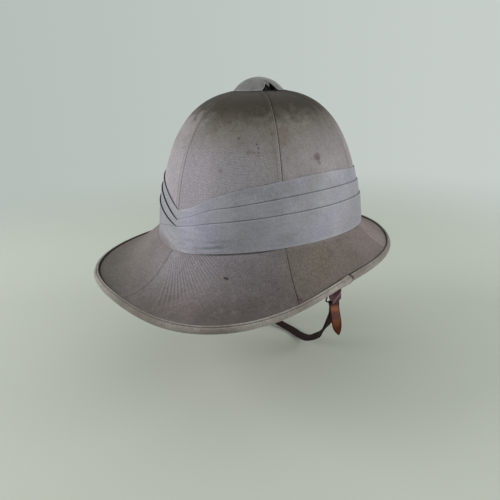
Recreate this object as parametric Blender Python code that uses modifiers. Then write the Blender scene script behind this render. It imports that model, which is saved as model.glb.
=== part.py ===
"""A cloth-covered pith helmet: a moulded wall for crown and brim, six cloth gores, a rolled
binding round the brim, a pleated hat scarf, a ventilator cap and a buckled leather chin strap.

Frame: metres, +Z up, the wearer looks along -Y, the wearer's left is +X. The origin is the middle
of the headband's lower edge, where the helmet sits on a head. Azimuths are degrees from the back
of the helmet (+Y) round by the wearer's right (-X).
"""
import math

import bmesh
import bpy
import numpy as np
from mathutils import Vector

# Crown: a rounded dome on an oval plan, measured on the outside of its cloth.
CROWN_HALF_LENGTH = 0.1188
CROWN_HALF_WIDTH = 0.1118
CROWN_RISE = 0.2088             # from the level of the widest section to the top
WIDEST_BELOW_SEAT = 0.0590
HEIGHT_EXPONENT = 2.78
WIDTH_EXPONENT = 2.87
VENT_HOLE_RADIUS = 0.0125

# Walls and the clearances between them.
COVER_THICKNESS = 0.0010
SHELL_THICKNESS = 0.0042
GAP = 0.0003
SEAM_HALF_GAP = 0.0002

# Brim: height where it leaves the crown, and the line where its cloth meets the binding.
BRIM_SECTIONS = {
    "azimuth":     (0, 30, 60, 90, 120, 150, 180),
    "foot_height": (0.0008, 0.0038, 0.0091, 0.0115, 0.0081, 0.0020, -0.0012),
    "edge_radius": (0.1842, 0.1914, 0.1657, 0.1406, 0.1443, 0.1498, 0.1596),
    "edge_height": (-0.0404, -0.0388, -0.0315, -0.0222, -0.0173, -0.0186, -0.0205),
    "flare":       (1.28, 0.92, 0.50, 0.40, 0.40, 0.50, 0.60),
}
JUST_INSIDE_EDGE = 0.98         # share of the brim at which its slope is taken for the binding
BINDING_LAP = 0.0035            # how far the covered wall runs on inside the binding
BINDING_UNDERLAP = 0.0060
BINDING_ROUND_INSET = 0.0017
BINDING_THICKNESS = 0.0010

# Seams between the gores: azimuth on the crown and on the brim.
SEAMS = (
    ("back", 3.0, 0.0),
    ("right_back", 62.3, 62.3),
    ("right_front", 120.5, 120.5),
    ("front", 180.0, 180.0),
    ("left_front", 239.5, 239.5),
    ("left_back", 297.7, 297.7),
)
COLUMNS_PER_GORE = 7
CROWN_ROWS = 9
BRIM_ROWS = 4

# The moulded wall is built up in quarters over the head, on one ring that carries the brim.
CROWN_WALL_ROWS = 8             # rows of the crown that the quarters take in, from the vent hole
WALL_JOINT_COLUMNS = {"right": (4, 16), "front": (16, 26), "left": (26, 37), "back": (37, 46)}
WALL_JOINT_HALF_GAP = 0.0002

# Hat scarf: height of each free edge above its lower edge, right round from the V at the back.
SCARF_EDGES = {
    "azimuth":    (3, 14, 25, 38, 55, 90, 123, 180, 270, 310, 328, 345, 355, 363),
    "fold_upper": (0.0405, 0.0462, 0.0549, 0.0606, 0.0634, 0.0651, 0.0642, 0.0642, 0.0645,
                   0.0650, 0.0640, 0.0583, 0.0500, 0.0405),
    "fold_lower": (0.0305, 0.0372, 0.0436, 0.0460, 0.0480, 0.0490, 0.0502, 0.0500, 0.0510,
                   0.0520, 0.0520, 0.0472, 0.0388, 0.0305),
    "band":       (0.0237, 0.0276, 0.0309, 0.0323, 0.0330, 0.0332, 0.0350, 0.0350, 0.0370,
                   0.0385, 0.0385, 0.0343, 0.0288, 0.0237),
}
SCARF_FOOT_DROP = 0.0030        # its lower edge hangs this far below the crown's foot
FOLD_THICKNESS = 0.0010
FOLD_SPACING = 0.0014
FOLD_FIRST_OFFSET = 0.0004
FOLD_FOOT_CLEARANCE = 0.0005

# Ventilator on the crown's top.
CAP_RADIUS = 0.0266
CAP_RIM_HEIGHT = 0.1493
CAP_TOP_HEIGHT = 0.1630
CAP_THICKNESS = 0.0015
NOTCH_AZIMUTH = 77.0
NOTCH_WIDTH = 0.0150
NOTCH_HEIGHT = 0.0085
NOTCH_PEAK_OFFSET = 0.0010
NOTCH_BELOW_RIM = 0.0020
NOTCH_INNER_RADIUS = 0.0170
NOTCH_OUTER_RADIUS = 0.0310
COLLAR_BASE_HEIGHT = 0.1501
COLLAR_HEIGHT = 0.0034
COLLAR_INNER_RADIUS = 0.0130
COLLAR_CRIMP_RADII = (0.0196, 0.0178)
COLLAR_CRIMPS = 20

# Headband, for a head 58 cm round; its top edge turns out to the shell.
HEADBAND_HALF_LENGTH = 0.1000
HEADBAND_HALF_WIDTH = 0.0840
HEADBAND_THICKNESS = 0.0018
HEADBAND_HEIGHT = 0.0400
HEADBAND_SHELL_GAP = 0.0004
SHELL_LEAN = 1.02               # level thickness of the leaning wall over its true thickness

# Chin strap. The routes are its middle line, with the way its width points.
STRAP_WIDTH = 0.0115
STRAP_THICKNESS = 0.0018
STRAP_SEWN_HEIGHT = 0.0300      # top of the stretch sewn to the headband
STRAP_SEWN_AZIMUTH = 114.3
STRAP_SEWN_FOOT = 0.0100
BUCKLE_CENTRE = (-0.0846, -0.0375)
BUCKLE_FACING = 61.0
BUCKLE_TOP_BAR = -0.0780
BUCKLE_BOTTOM_BAR = -0.0870
BUCKLE_WIDTH = 0.0165
BUCKLE_WIRE_RADIUS = 0.0008
BUCKLE_CORNER_RADIUS = 0.0018
STRAP_TURN_RADIUS = 0.0021
STRAIGHT_ABOVE_BAR = 0.0080
TURNED_UP_LENGTH = 0.0150
KEEPER_HEIGHT = 0.0060
KEEPER_MIDDLE = -0.0690
KEEPER_THICKNESS = 0.0011
SHORT_STRAP_ROUTE = {           # from below the headband down to the buckle
    "x":       (-0.0816, -0.0826, -0.0846, -0.0862),
    "y":       (-0.0362, -0.0364, -0.0366, -0.0366),
    "z":       (-0.0050, -0.0220, -0.0400, -0.0560),
    "facing":  (107.0, 98.0, 78.0, 64.0),
}
FREE_END_ROUTE = {              # from the pointed tip up towards the buckle
    "x":       (-0.0913, -0.0905, -0.0898, -0.0889, -0.0877, -0.0865),
    "y":       (-0.0406, -0.0399, -0.0393, -0.0387, -0.0376, -0.0366),
    "z":       (-0.1280, -0.1238, -0.1194, -0.1119, -0.1027, -0.0930),
    "facing":  (50.0, 50.0, 50.0, 52.0, 56.0, 60.0),
    "width":   (0.0014, 0.0066, 0.0098, 0.0115, 0.0115, 0.0115),
}
CHIN_ROUTE = {                  # from below the buckle, under the chin and up to the wearer's left
    "x":        (-0.0817, -0.0817, -0.0810, -0.0791, -0.0765, -0.0733, -0.0687, -0.0636, -0.0578,
                 -0.0495, -0.0390, -0.0240, 0.0000, 0.0240, 0.0470, 0.0670, 0.0780, 0.0812, 0.0818),
    "y":        (-0.0407, -0.0407, -0.0404, -0.0389, -0.0375, -0.0372, -0.0386, -0.0403, -0.0416,
                 -0.0420, -0.0420, -0.0450, -0.0490, -0.0465, -0.0405, -0.0375, -0.0368, -0.0364,
                 -0.0362),
    "z":        (-0.0924, -0.0976, -0.1033, -0.1102, -0.1172, -0.1237, -0.1304, -0.1368, -0.1426,
                 -0.1488, -0.1552, -0.1600, -0.1620, -0.1590, -0.1450, -0.1180, -0.0850, -0.0450,
                 -0.0050),
    "across_x": (0.33, 0.34, 0.28, 0.16, -0.01, -0.07, -0.22, -0.34, -0.31,
                 -0.28, -0.03, 0.00, 0.00, 0.05, 0.10, 0.20, 0.28, 0.30, 0.30),
    "across_y": (0.93, 0.94, 0.94, 0.96, 0.99, 0.99, 0.90, 0.79, 0.82,
                 0.85, 0.94, 0.99, 1.00, 1.00, 0.98, 0.96, 0.95, 0.95, 0.95),
    "across_z": (-0.16, 0.05, 0.19, 0.25, 0.12, -0.12, -0.38, -0.50, -0.48,
                 -0.44, -0.34, -0.15, -0.05, 0.00, 0.00, 0.00, 0.00, 0.00, 0.00),
}

COLLECTION_NAME = "pith_helmet"
CUTTER_COLLECTION_NAME = "cutters"
MERGE_DISTANCE = 0.00001


# --- scene, materials and small mathematics -------------------------------------------------------

def clear_scene():
    for item in list(bpy.data.objects):
        bpy.data.objects.remove(item, do_unlink=True)


def collection(name):
    group = bpy.data.collections.get(name) or bpy.data.collections.new(name)
    if name not in bpy.context.scene.collection.children:
        bpy.context.scene.collection.children.link(group)
    return group


def material(name, colour, roughness, metallic=0.0):
    made = bpy.data.materials.new(name)
    made.use_nodes = True
    shader = made.node_tree.nodes["Principled BSDF"]
    shader.inputs["Base Color"].default_value = (*colour, 1.0)
    shader.inputs["Roughness"].default_value = roughness
    shader.inputs["Metallic"].default_value = metallic
    return made


def place(name, mesh, finish):
    """A new object of the helmet, smooth where its faces run on."""
    item = bpy.data.objects.new(name, mesh)
    mesh.materials.append(finish)
    mesh.shade_smooth()
    mesh.set_sharp_from_angle(angle=math.radians(35))
    collection(COLLECTION_NAME).objects.link(item)
    return item


def even_curve(values, azimuth):
    """The smooth curve through values 30 degrees apart from back to front, alike on both sides."""
    rows = np.radians(30.0 * np.arange(len(values)))
    orders = np.arange(len(values))
    weights = np.linalg.solve(np.cos(np.outer(rows, orders)), np.array(values))
    return float(np.cos(orders * math.radians(azimuth)) @ weights)


def eased_table(places, values, at):
    """Cubic through the table's rows, with the slope of the neighbours at each row."""
    places, values = np.array(places, float), np.array(values, float)
    slopes = np.gradient(values, places)
    row = int(np.clip(np.searchsorted(places, at) - 1, 0, len(places) - 2))
    span = places[row + 1] - places[row]
    t = (at - places[row]) / span
    return float((2 * t**3 - 3 * t**2 + 1) * values[row] + (t**3 - 2 * t**2 + t) * span * slopes[row]
                 + (3 * t**2 - 2 * t**3) * values[row + 1] + (t**3 - t**2) * span * slopes[row + 1])


def around(azimuth, radius, height):
    angle = math.radians(azimuth)
    return Vector((-radius * math.sin(angle), radius * math.cos(angle), height))


# --- the helmet's outer surface -------------------------------------------------------------------

def oval_radius(half_length, half_width, azimuth):
    angle = math.radians(azimuth)
    return half_length * half_width / math.hypot(half_width * math.cos(angle),
                                                 half_length * math.sin(angle))


def crown_radius(azimuth, height):
    rise = (height + WIDEST_BELOW_SEAT) / CROWN_RISE
    widest = oval_radius(CROWN_HALF_LENGTH, CROWN_HALF_WIDTH, azimuth)
    return widest * (1 - rise**HEIGHT_EXPONENT) ** (1 / WIDTH_EXPONENT)


def foot_height(azimuth):
    return even_curve(BRIM_SECTIONS["foot_height"], azimuth)


def crown_point(azimuth, share):
    """A point on the crown, from the vent hole's rim (0) to its foot (1)."""
    top = math.acos((VENT_HOLE_RADIUS / CROWN_HALF_WIDTH) ** (WIDTH_EXPONENT / 2))
    foot_rise = (foot_height(azimuth) + WIDEST_BELOW_SEAT) / CROWN_RISE
    foot = math.asin(foot_rise ** (HEIGHT_EXPONENT / 2))
    angle = top + (foot - top) * share
    narrowing = math.cos(angle) ** (2 / WIDTH_EXPONENT)
    height = math.sin(angle) ** (2 / HEIGHT_EXPONENT) * CROWN_RISE - WIDEST_BELOW_SEAT
    return around(azimuth, oval_radius(CROWN_HALF_LENGTH, CROWN_HALF_WIDTH, azimuth) * narrowing, height)


def brim_profile(azimuth, share):
    """Radius and height on the brim, from the crown's foot (0) to the binding's inner line (1)."""
    foot = foot_height(azimuth)
    inner = crown_radius(azimuth, foot)
    flare = even_curve(BRIM_SECTIONS["flare"], azimuth)
    drop = (1 + flare) * share - flare * share**2
    radius = inner + (even_curve(BRIM_SECTIONS["edge_radius"], azimuth) - inner) * share
    height = foot + (even_curve(BRIM_SECTIONS["edge_height"], azimuth) - foot) * drop
    return radius, height


def brim_height(azimuth, radius):
    """Height of the brim's outside at a radius not far out from the crown's foot."""
    inner, _ = brim_profile(azimuth, 0)
    outer, _ = brim_profile(azimuth, 1)
    return brim_profile(azimuth, (radius - inner) / (outer - inner))[1]


def edge_frame(azimuth):
    """Point on the binding's inner line, with the directions outward along the brim and up off it."""
    point = around(azimuth, *brim_profile(azimuth, 1.0))
    outward = (point - around(azimuth, *brim_profile(azimuth, JUST_INSIDE_EDGE))).normalized()
    along = around(azimuth + 90, 1, 0)
    return point, outward, outward.cross(along).normalized()


def surface_rows():
    """Rows of the whole outer surface, as functions of azimuth, with their share of brim seam."""
    rows = [(lambda az, s=i / CROWN_ROWS: crown_point(az, s), 0.0) for i in range(CROWN_ROWS + 1)]
    rows += [(lambda az, s=i / BRIM_ROWS: around(az, *brim_profile(az, s)), 1.0)
             for i in range(1, BRIM_ROWS + 1)]
    rows.append((lambda az: edge_frame(az)[0] + edge_frame(az)[1] * BINDING_LAP, 1.0))
    return rows


def seam_azimuth(number, brim_share):
    _, on_crown, on_brim = SEAMS[number % len(SEAMS)]
    return on_crown + (on_brim - on_crown) * brim_share + 360.0 * (number // len(SEAMS))


def column_azimuth(column, brim_share):
    gore, step = divmod(column, COLUMNS_PER_GORE)
    start, end = seam_azimuth(gore, brim_share), seam_azimuth(gore + 1, brim_share)
    return start + (end - start) * step / COLUMNS_PER_GORE


def surface_normal(row, azimuth, rows):
    """Outward normal of the surface at one row and azimuth, from its neighbours."""
    before, after = max(row - 1, 0), min(row + 1, len(rows) - 1)
    down = rows[after][0](azimuth) - rows[before][0](azimuth)
    along = rows[row][0](azimuth + 1) - rows[row][0](azimuth - 1)
    return down.cross(along).normalized()


# --- mesh makers ----------------------------------------------------------------------------------

def grid_mesh(name, rows, closed):
    """An open sheet through rows of points, closed round into a ring if asked."""
    width = len(rows[0])
    points = [tuple(p) for row in rows for p in row]
    spans = width if closed else width - 1
    faces = []
    for start in range(0, (len(rows) - 1) * width, width):
        for j in range(spans):
            k = (j + 1) % width
            faces.append((start + j, start + width + j, start + width + k, start + k))
    mesh = bpy.data.meshes.new(name)
    mesh.from_pydata(points, [], faces)
    return mesh


def wall_mesh(name, outer, inner, closed):
    """A wall between two sheets of points that have the same rows and columns."""
    width = len(outer[0])
    points = [tuple(p) for sheet in (outer, inner) for row in sheet for p in row]
    under = len(points) // 2
    last = under - width
    spans = width if closed else width - 1
    faces = []
    for j in range(spans):
        k = (j + 1) % width
        for a in range(0, last, width):
            b = a + width
            faces.append((a + j, b + j, b + k, a + k))
            faces.append((under + a + j, under + a + k, under + b + k, under + b + j))
        faces.append((j, k, under + k, under + j))
        faces.append((last + k, last + j, under + last + j, under + last + k))
    if not closed:
        for a in range(0, last, width):
            b = a + width
            end = width - 1
            faces.append((b, a, under + a, under + b))
            faces.append((a + end, b + end, under + b + end, under + a + end))
    mesh = bpy.data.meshes.new(name)
    mesh.from_pydata(points, [], faces)
    return mesh


def ring_loft(name, sections):
    """A closed ring through closed sections that change shape from place to place."""
    corners = len(sections[0])
    points = [tuple(p) for section in sections for p in section]
    faces = []
    for i in range(len(sections)):
        after = (i + 1) % len(sections)
        for j in range(corners):
            k = (j + 1) % corners
            faces.append((i * corners + j, i * corners + k, after * corners + k, after * corners + j))
    mesh = bpy.data.meshes.new(name)
    mesh.from_pydata(points, [], faces)
    return mesh


def solidify(item, thickness, offset):
    wall = item.modifiers.new("wall", "SOLIDIFY")
    wall.thickness = thickness
    wall.offset = offset
    wall.use_even_offset = True
    return item


# --- shell, gores and binding ---------------------------------------------------------------------

def wall_sheets(rows, numbers, azimuths):
    """Outside and inside points of the moulded wall in some of the rows, under its cloth."""
    sheets = ([], [])
    for number in numbers:
        lines = ([], [])
        for azimuth in azimuths(rows[number]):
            point, normal = rows[number][0](azimuth), surface_normal(number, azimuth, rows)
            lines[0].append(point - normal * (COVER_THICKNESS + GAP))
            lines[1].append(point - normal * (COVER_THICKNESS + GAP + SHELL_THICKNESS))
        sheets[0].append(lines[0])
        sheets[1].append(lines[1])
    return sheets


def draw_back(line, towards):
    """A row of points moved a little towards the next row, to leave a joint."""
    return [p + (q - p).normalized() * WALL_JOINT_HALF_GAP for p, q in zip(line, towards)]


def build_crown_wall(side, finish):
    """One quarter of the crown's moulded wall, from the vent hole to a little above the brim."""
    first, last = WALL_JOINT_COLUMNS[side]

    def azimuths(row):
        found = [column_azimuth(column, row[1]) for column in range(first, last + 1)]
        inset = math.degrees(WALL_JOINT_HALF_GAP / row[0](found[0]).xy.length)
        return [found[0] + inset, *found[1:-1], found[-1] - inset]

    outer, inner = wall_sheets(surface_rows(), range(CROWN_WALL_ROWS + 1), azimuths)
    for sheet in (outer, inner):
        sheet[-1] = draw_back(sheet[-1], sheet[-2])
    name = "crown_wall_" + side
    return place(name, wall_mesh(name, outer, inner, closed=False), finish)


def build_brim_wall(finish):
    """The ring of moulded wall that carries the brim, with the crown's lowest stretch on it."""
    rows = surface_rows()

    def azimuths(row):
        return [column_azimuth(column, row[1]) for column in range(COLUMNS_PER_GORE * len(SEAMS))]

    outer, inner = wall_sheets(rows, range(CROWN_WALL_ROWS, len(rows)), azimuths)
    for sheet in (outer, inner):
        sheet[0] = draw_back(sheet[0], sheet[1])
    return place("brim_wall", wall_mesh("brim_wall", outer, inner, closed=True), finish)


def build_gore(number, finish):
    """One cloth gore, from the vent hole to inside the binding."""
    rows = surface_rows()
    sheet = []
    for point, brim_share in rows:
        line = []
        for step in range(COLUMNS_PER_GORE + 1):
            azimuth = column_azimuth(number * COLUMNS_PER_GORE + step, brim_share)
            side = {0: 1, COLUMNS_PER_GORE: -1}.get(step, 0)
            inset = math.degrees(SEAM_HALF_GAP / point(azimuth).xy.length) * side
            line.append(point(azimuth + inset))
        sheet.append(line)
    name = "cover_panel_%d" % (number + 1)
    panel = place(name, grid_mesh(name, sheet, closed=False), finish)
    return solidify(panel, COVER_THICKNESS, -1)


def binding_section(azimuth):
    """The rolled edge cut across: a lip on top, a full round outside, a longer lip beneath."""
    point, outward, up = edge_frame(azimuth)
    top = GAP + BINDING_THICKNESS
    pocket_floor = -(COVER_THICKNESS + GAP + SHELL_THICKNESS + GAP)
    bottom = pocket_floor - BINDING_THICKNESS
    radius = (top - bottom) / 2
    centre = (BINDING_LAP - BINDING_ROUND_INSET, (top + bottom) / 2)
    outline = [(0.0, GAP), (0.0, top)]
    for step in range(6):
        turn = math.radians(90 - 36 * step)
        outline.append((centre[0] + radius * math.cos(turn), centre[1] + radius * math.sin(turn)))
    outline += [(-BINDING_UNDERLAP, bottom), (-BINDING_UNDERLAP, pocket_floor),
                (BINDING_LAP + GAP, pocket_floor), (BINDING_LAP + GAP, GAP)]
    return [point + outward * u + up * n for u, n in outline]


def build_binding(finish):
    columns = COLUMNS_PER_GORE * len(SEAMS)
    sections = [binding_section(column_azimuth(c, 1.0)) for c in range(columns)]
    return place("brim_binding", ring_loft("brim_binding", sections), finish)


# --- hat scarf ------------------------------------------------------------------------------------

def build_fold(name, edge, layer, row_count, finish):
    """One turn of the scarf, wrapped round the crown from its free edge down to the brim."""
    offset = FOLD_FIRST_OFFSET + FOLD_SPACING * layer
    azimuths = [column_azimuth(c, 0.0) for c in range(COLUMNS_PER_GORE * len(SEAMS))]
    tops, bottoms = [], []
    for azimuth in azimuths:
        foot = foot_height(azimuth)
        rise = eased_table(SCARF_EDGES["azimuth"], SCARF_EDGES[edge], azimuth)
        tops.append(foot - SCARF_FOOT_DROP + rise)
        bottoms.append(brim_height(azimuth, crown_radius(azimuth, foot) + offset) + FOLD_FOOT_CLEARANCE)
    sheet = []
    for row in range(row_count + 1):
        line = []
        for azimuth, top, bottom in zip(azimuths, tops, bottoms):
            height = top + (bottom - top) * row / row_count
            line.append(around(azimuth, crown_radius(azimuth, height) + offset, height))
        sheet.append(line)
    fold = place(name, grid_mesh(name, sheet, closed=True), finish)
    return solidify(fold, FOLD_THICKNESS, 1)


# --- ventilator -----------------------------------------------------------------------------------

def build_cap(finish):
    """A shallow dome, turned, with a wedge cut from its rim where the cloth is lifted."""
    rise = CAP_TOP_HEIGHT - CAP_RIM_HEIGHT
    dome_radius = (CAP_RADIUS**2 + rise**2) / (2 * rise)
    centre = CAP_TOP_HEIGHT - dome_radius
    widest = math.asin(CAP_RADIUS / dome_radius)
    inner_radius = dome_radius - CAP_THICKNESS
    outline = []
    steps = 6
    for step in range(steps + 1):
        angle = widest * step / steps
        outline.append((dome_radius * math.sin(angle), centre + dome_radius * math.cos(angle)))
    for step in range(steps, -1, -1):
        angle = math.asin((CAP_RADIUS - CAP_THICKNESS) / inner_radius) * step / steps
        outline.append((inner_radius * math.sin(angle), centre + inner_radius * math.cos(angle)))
    mesh = bpy.data.meshes.new("ventilator_cap")
    mesh.from_pydata([(x, 0, z) for x, z in outline], [(i, i + 1) for i in range(len(outline) - 1)], [])
    cap = place("ventilator_cap", mesh, finish)
    turned = cap.modifiers.new("turned", "SCREW")
    turned.steps = turned.render_steps = 24
    turned.use_merge_vertices = True
    turned.merge_threshold = MERGE_DISTANCE
    notch = cap.modifiers.new("lifted_rim", "BOOLEAN")
    notch.operation = "DIFFERENCE"
    notch.object = notch_cutter()
    return cap


def notch_cutter():
    """A wedge that points up and reaches through one side of the cap's rim."""
    outline = bpy.data.curves.new("lifted_rim_wedge", "CURVE")
    outline.dimensions = "2D"
    outline.fill_mode = "BOTH"
    outline.extrude = (NOTCH_OUTER_RADIUS - NOTCH_INNER_RADIUS) / 2
    corners = ((-NOTCH_WIDTH / 2, -NOTCH_BELOW_RIM), (NOTCH_WIDTH / 2, -NOTCH_BELOW_RIM),
               (NOTCH_PEAK_OFFSET, NOTCH_HEIGHT))
    spline = outline.splines.new("POLY")
    spline.points.add(len(corners) - 1)
    for point, (x, y) in zip(spline.points, corners):
        point.co = (x, y, 0, 1)
    spline.use_cyclic_u = True
    drawn = bpy.data.objects.new("lifted_rim_outline", outline)
    collection(CUTTER_COLLECTION_NAME).objects.link(drawn)
    drawn.location = around(NOTCH_AZIMUTH, (NOTCH_INNER_RADIUS + NOTCH_OUTER_RADIUS) / 2, CAP_RIM_HEIGHT)
    drawn.rotation_euler = (math.radians(90), 0, math.radians(NOTCH_AZIMUTH + 180))
    return meshed(drawn, "lifted_rim_cutter")


def meshed(drawn, name):
    """A welded mesh object in place of a drawn curve, for use as a cutter."""
    bpy.context.view_layer.update()
    evaluated = drawn.evaluated_get(bpy.context.evaluated_depsgraph_get())
    mesh = bpy.data.meshes.new_from_object(evaluated)
    welded = bmesh.new()
    welded.from_mesh(mesh)
    bmesh.ops.remove_doubles(welded, verts=welded.verts, dist=MERGE_DISTANCE)
    bmesh.ops.recalc_face_normals(welded, faces=welded.faces)
    welded.to_mesh(mesh)
    welded.free()
    item = bpy.data.objects.new(name, mesh)
    item.matrix_world = drawn.matrix_world.copy()
    collection(CUTTER_COLLECTION_NAME).objects.link(item)
    item.hide_render = True
    item.display_type = "WIRE"
    bpy.data.objects.remove(drawn, do_unlink=True)
    return item


def build_collar(finish):
    """A flat ring whose outer wall is crimped in and out."""
    outline = bpy.data.curves.new("ventilator_collar", "CURVE")
    outline.dimensions = "2D"
    outline.fill_mode = "BOTH"
    outline.extrude = COLLAR_HEIGHT / 2
    count = 2 * COLLAR_CRIMPS
    for radii in (COLLAR_CRIMP_RADII, (COLLAR_INNER_RADIUS,) * 2):
        spline = outline.splines.new("POLY")
        spline.points.add(count - 1)
        for number, point in enumerate(spline.points):
            flat = around(360 * number / count, radii[number % 2], 0)
            point.co = (flat.x, flat.y, 0, 1)
        spline.use_cyclic_u = True
    collar = bpy.data.objects.new("ventilator_collar", outline)
    outline.materials.append(finish)
    collar.location.z = COLLAR_BASE_HEIGHT + COLLAR_HEIGHT / 2
    collection(COLLECTION_NAME).objects.link(collar)
    return collar


# --- headband -------------------------------------------------------------------------------------

def headband_section(azimuth):
    """An upright band with its top edge turned out to the shell's inside."""
    inner = oval_radius(HEADBAND_HALF_LENGTH, HEADBAND_HALF_WIDTH, azimuth)
    outer = inner + HEADBAND_THICKNESS
    under_flange = HEADBAND_HEIGHT - HEADBAND_THICKNESS
    wall = COVER_THICKNESS + GAP + SHELL_THICKNESS + HEADBAND_SHELL_GAP
    reach = crown_radius(azimuth, HEADBAND_HEIGHT) - wall * SHELL_LEAN
    profile = ((inner, 0.0), (inner, HEADBAND_HEIGHT), (reach, HEADBAND_HEIGHT),
               (reach, under_flange), (outer, under_flange), (outer, 0.0))
    return [around(azimuth, radius, height) for radius, height in profile]


def build_headband(finish):
    columns = COLUMNS_PER_GORE * len(SEAMS)
    sections = [headband_section(column_azimuth(c, 0.0)) for c in range(columns)]
    return place("headband", ring_loft("headband", sections), finish)


# --- chin strap -----------------------------------------------------------------------------------

def smooth_rows(table, steps):
    """Rows of a table with more rows eased in between, the same number in each span."""
    columns = np.array(list(table.values()), float)
    places = np.concatenate(([0], np.cumsum(np.linalg.norm(np.diff(columns[:3]), axis=0))))
    rows = []
    for span in range(len(places) - 1):
        for step in range(steps):
            at = places[span] + (places[span + 1] - places[span]) * step / steps
            rows.append([eased_table(places, column, at) for column in columns])
    return rows + [list(columns[:, -1])]


def face_direction(azimuth):
    return around(azimuth, 1, 0)


def level_across(facing):
    """Level direction of the strap's width where its face looks along an azimuth."""
    return around(facing - 90, 1, 0)


def ribbon(name, stations, finish):
    """A flat strap through stations of middle point, direction of its width, and width."""
    places = [station[0] for station in stations]
    sections = []
    for number, (middle, across, width) in enumerate(stations):
        along = places[min(number + 1, len(places) - 1)] - places[max(number - 1, 0)]
        across = (across - along * across.dot(along) / along.dot(along)).normalized()
        normal = across.cross(along).normalized()
        sections.append([middle + across * width / 2 * i + normal * STRAP_THICKNESS / 2 * j
                         for i, j in ((-1, -1), (1, -1), (1, 1), (-1, 1))])
    points = [tuple(p) for section in sections for p in section]
    last = len(points) - 4
    faces = [(0, 1, 2, 3), (last + 3, last + 2, last + 1, last)]
    for i in range(0, last, 4):
        for j in range(4):
            k = (j + 1) % 4
            faces.append((i + j, i + 4 + j, i + 4 + k, i + k))
    mesh = bpy.data.meshes.new(name)
    mesh.from_pydata(points, [], faces)
    return place(name, mesh, finish)


def bar_turn(height, first_angle, last_angle, steps):
    """Stations round a bar of the buckle; angle 0 is its outer side, 90 its top."""
    centre = Vector((*BUCKLE_CENTRE, height))
    face, across = face_direction(BUCKLE_FACING), level_across(BUCKLE_FACING)
    stations = []
    for step in range(steps + 1):
        angle = math.radians(first_angle + (last_angle - first_angle) * step / steps)
        swing = face * math.cos(angle) + Vector((0, 0, math.sin(angle)))
        stations.append((centre + swing * STRAP_TURN_RADIUS, across, STRAP_WIDTH))
    return stations


def sewn_station(side, height):
    """Middle of the strap where it lies flat against the headband's outside."""
    radius = oval_radius(HEADBAND_HALF_LENGTH, HEADBAND_HALF_WIDTH, STRAP_SEWN_AZIMUTH)
    radius += HEADBAND_THICKNESS + 2 * GAP + STRAP_THICKNESS / 2
    middle = around(side * STRAP_SEWN_AZIMUTH, radius, height)
    return middle, level_across(side * SHORT_STRAP_ROUTE["facing"][0]), STRAP_WIDTH


def build_short_strap(finish):
    """Down from the headband, round the buckle's top bar and up a little way behind."""
    stations = [sewn_station(1, STRAP_SEWN_HEIGHT), sewn_station(1, STRAP_SEWN_FOOT)]
    for x, y, z, facing in smooth_rows(SHORT_STRAP_ROUTE, 2):
        stations.append((Vector((x, y, z)), level_across(facing), STRAP_WIDTH))
    turn = bar_turn(BUCKLE_TOP_BAR, 0, -180, 6)
    stations.append((turn[0][0] + Vector((0, 0, STRAIGHT_ABOVE_BAR)), turn[0][1], STRAP_WIDTH))
    stations += turn
    stations.append((turn[-1][0] + Vector((0, 0, TURNED_UP_LENGTH)), turn[-1][1], STRAP_WIDTH))
    return ribbon("strap_short", stations, finish)


def build_long_strap(finish):
    """From the pointed free end, up over the buckle's bottom bar, under the chin, to the left."""
    stations = [(Vector(row[:3]), level_across(row[3]), row[4]) for row in smooth_rows(FREE_END_ROUTE, 2)]
    stations += bar_turn(BUCKLE_BOTTOM_BAR, 0, 180, 6)
    stations += [(Vector(row[:3]), Vector(row[3:]), STRAP_WIDTH) for row in smooth_rows(CHIN_ROUTE, 3)]
    for height in (STRAP_SEWN_FOOT, STRAP_SEWN_HEIGHT):
        middle, across, width = sewn_station(-1, height)
        stations.append((middle, -across, width))
    return ribbon("strap_long", stations, finish)


def build_buckle(finish):
    """A wire frame with round corners, as wide as the strap and a little more."""
    wire = bpy.data.curves.new("buckle_frame", "CURVE")
    wire.dimensions = "3D"
    wire.bevel_depth = BUCKLE_WIRE_RADIUS
    wire.bevel_resolution = 1
    half_width, half_height = BUCKLE_WIDTH / 2, (BUCKLE_TOP_BAR - BUCKLE_BOTTOM_BAR) / 2
    corner = BUCKLE_CORNER_RADIUS
    spline = wire.splines.new("POLY")
    spline.points.add(11)
    for number, point in enumerate(spline.points):
        turn = math.radians(90 * (number // 3) + 45 * (number % 3))
        side_x = 1 if number // 3 in (0, 3) else -1
        side_z = 1 if number // 3 in (0, 1) else -1
        point.co = (side_x * (half_width - corner) + corner * math.cos(turn), 0,
                    side_z * (half_height - corner) + corner * math.sin(turn), 1)
    spline.use_cyclic_u = True
    frame = bpy.data.objects.new("buckle_frame", wire)
    wire.materials.append(finish)
    frame.location = (*BUCKLE_CENTRE, (BUCKLE_TOP_BAR + BUCKLE_BOTTOM_BAR) / 2)
    frame.rotation_euler.z = math.radians(BUCKLE_FACING)
    collection(COLLECTION_NAME).objects.link(frame)
    return frame


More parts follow.
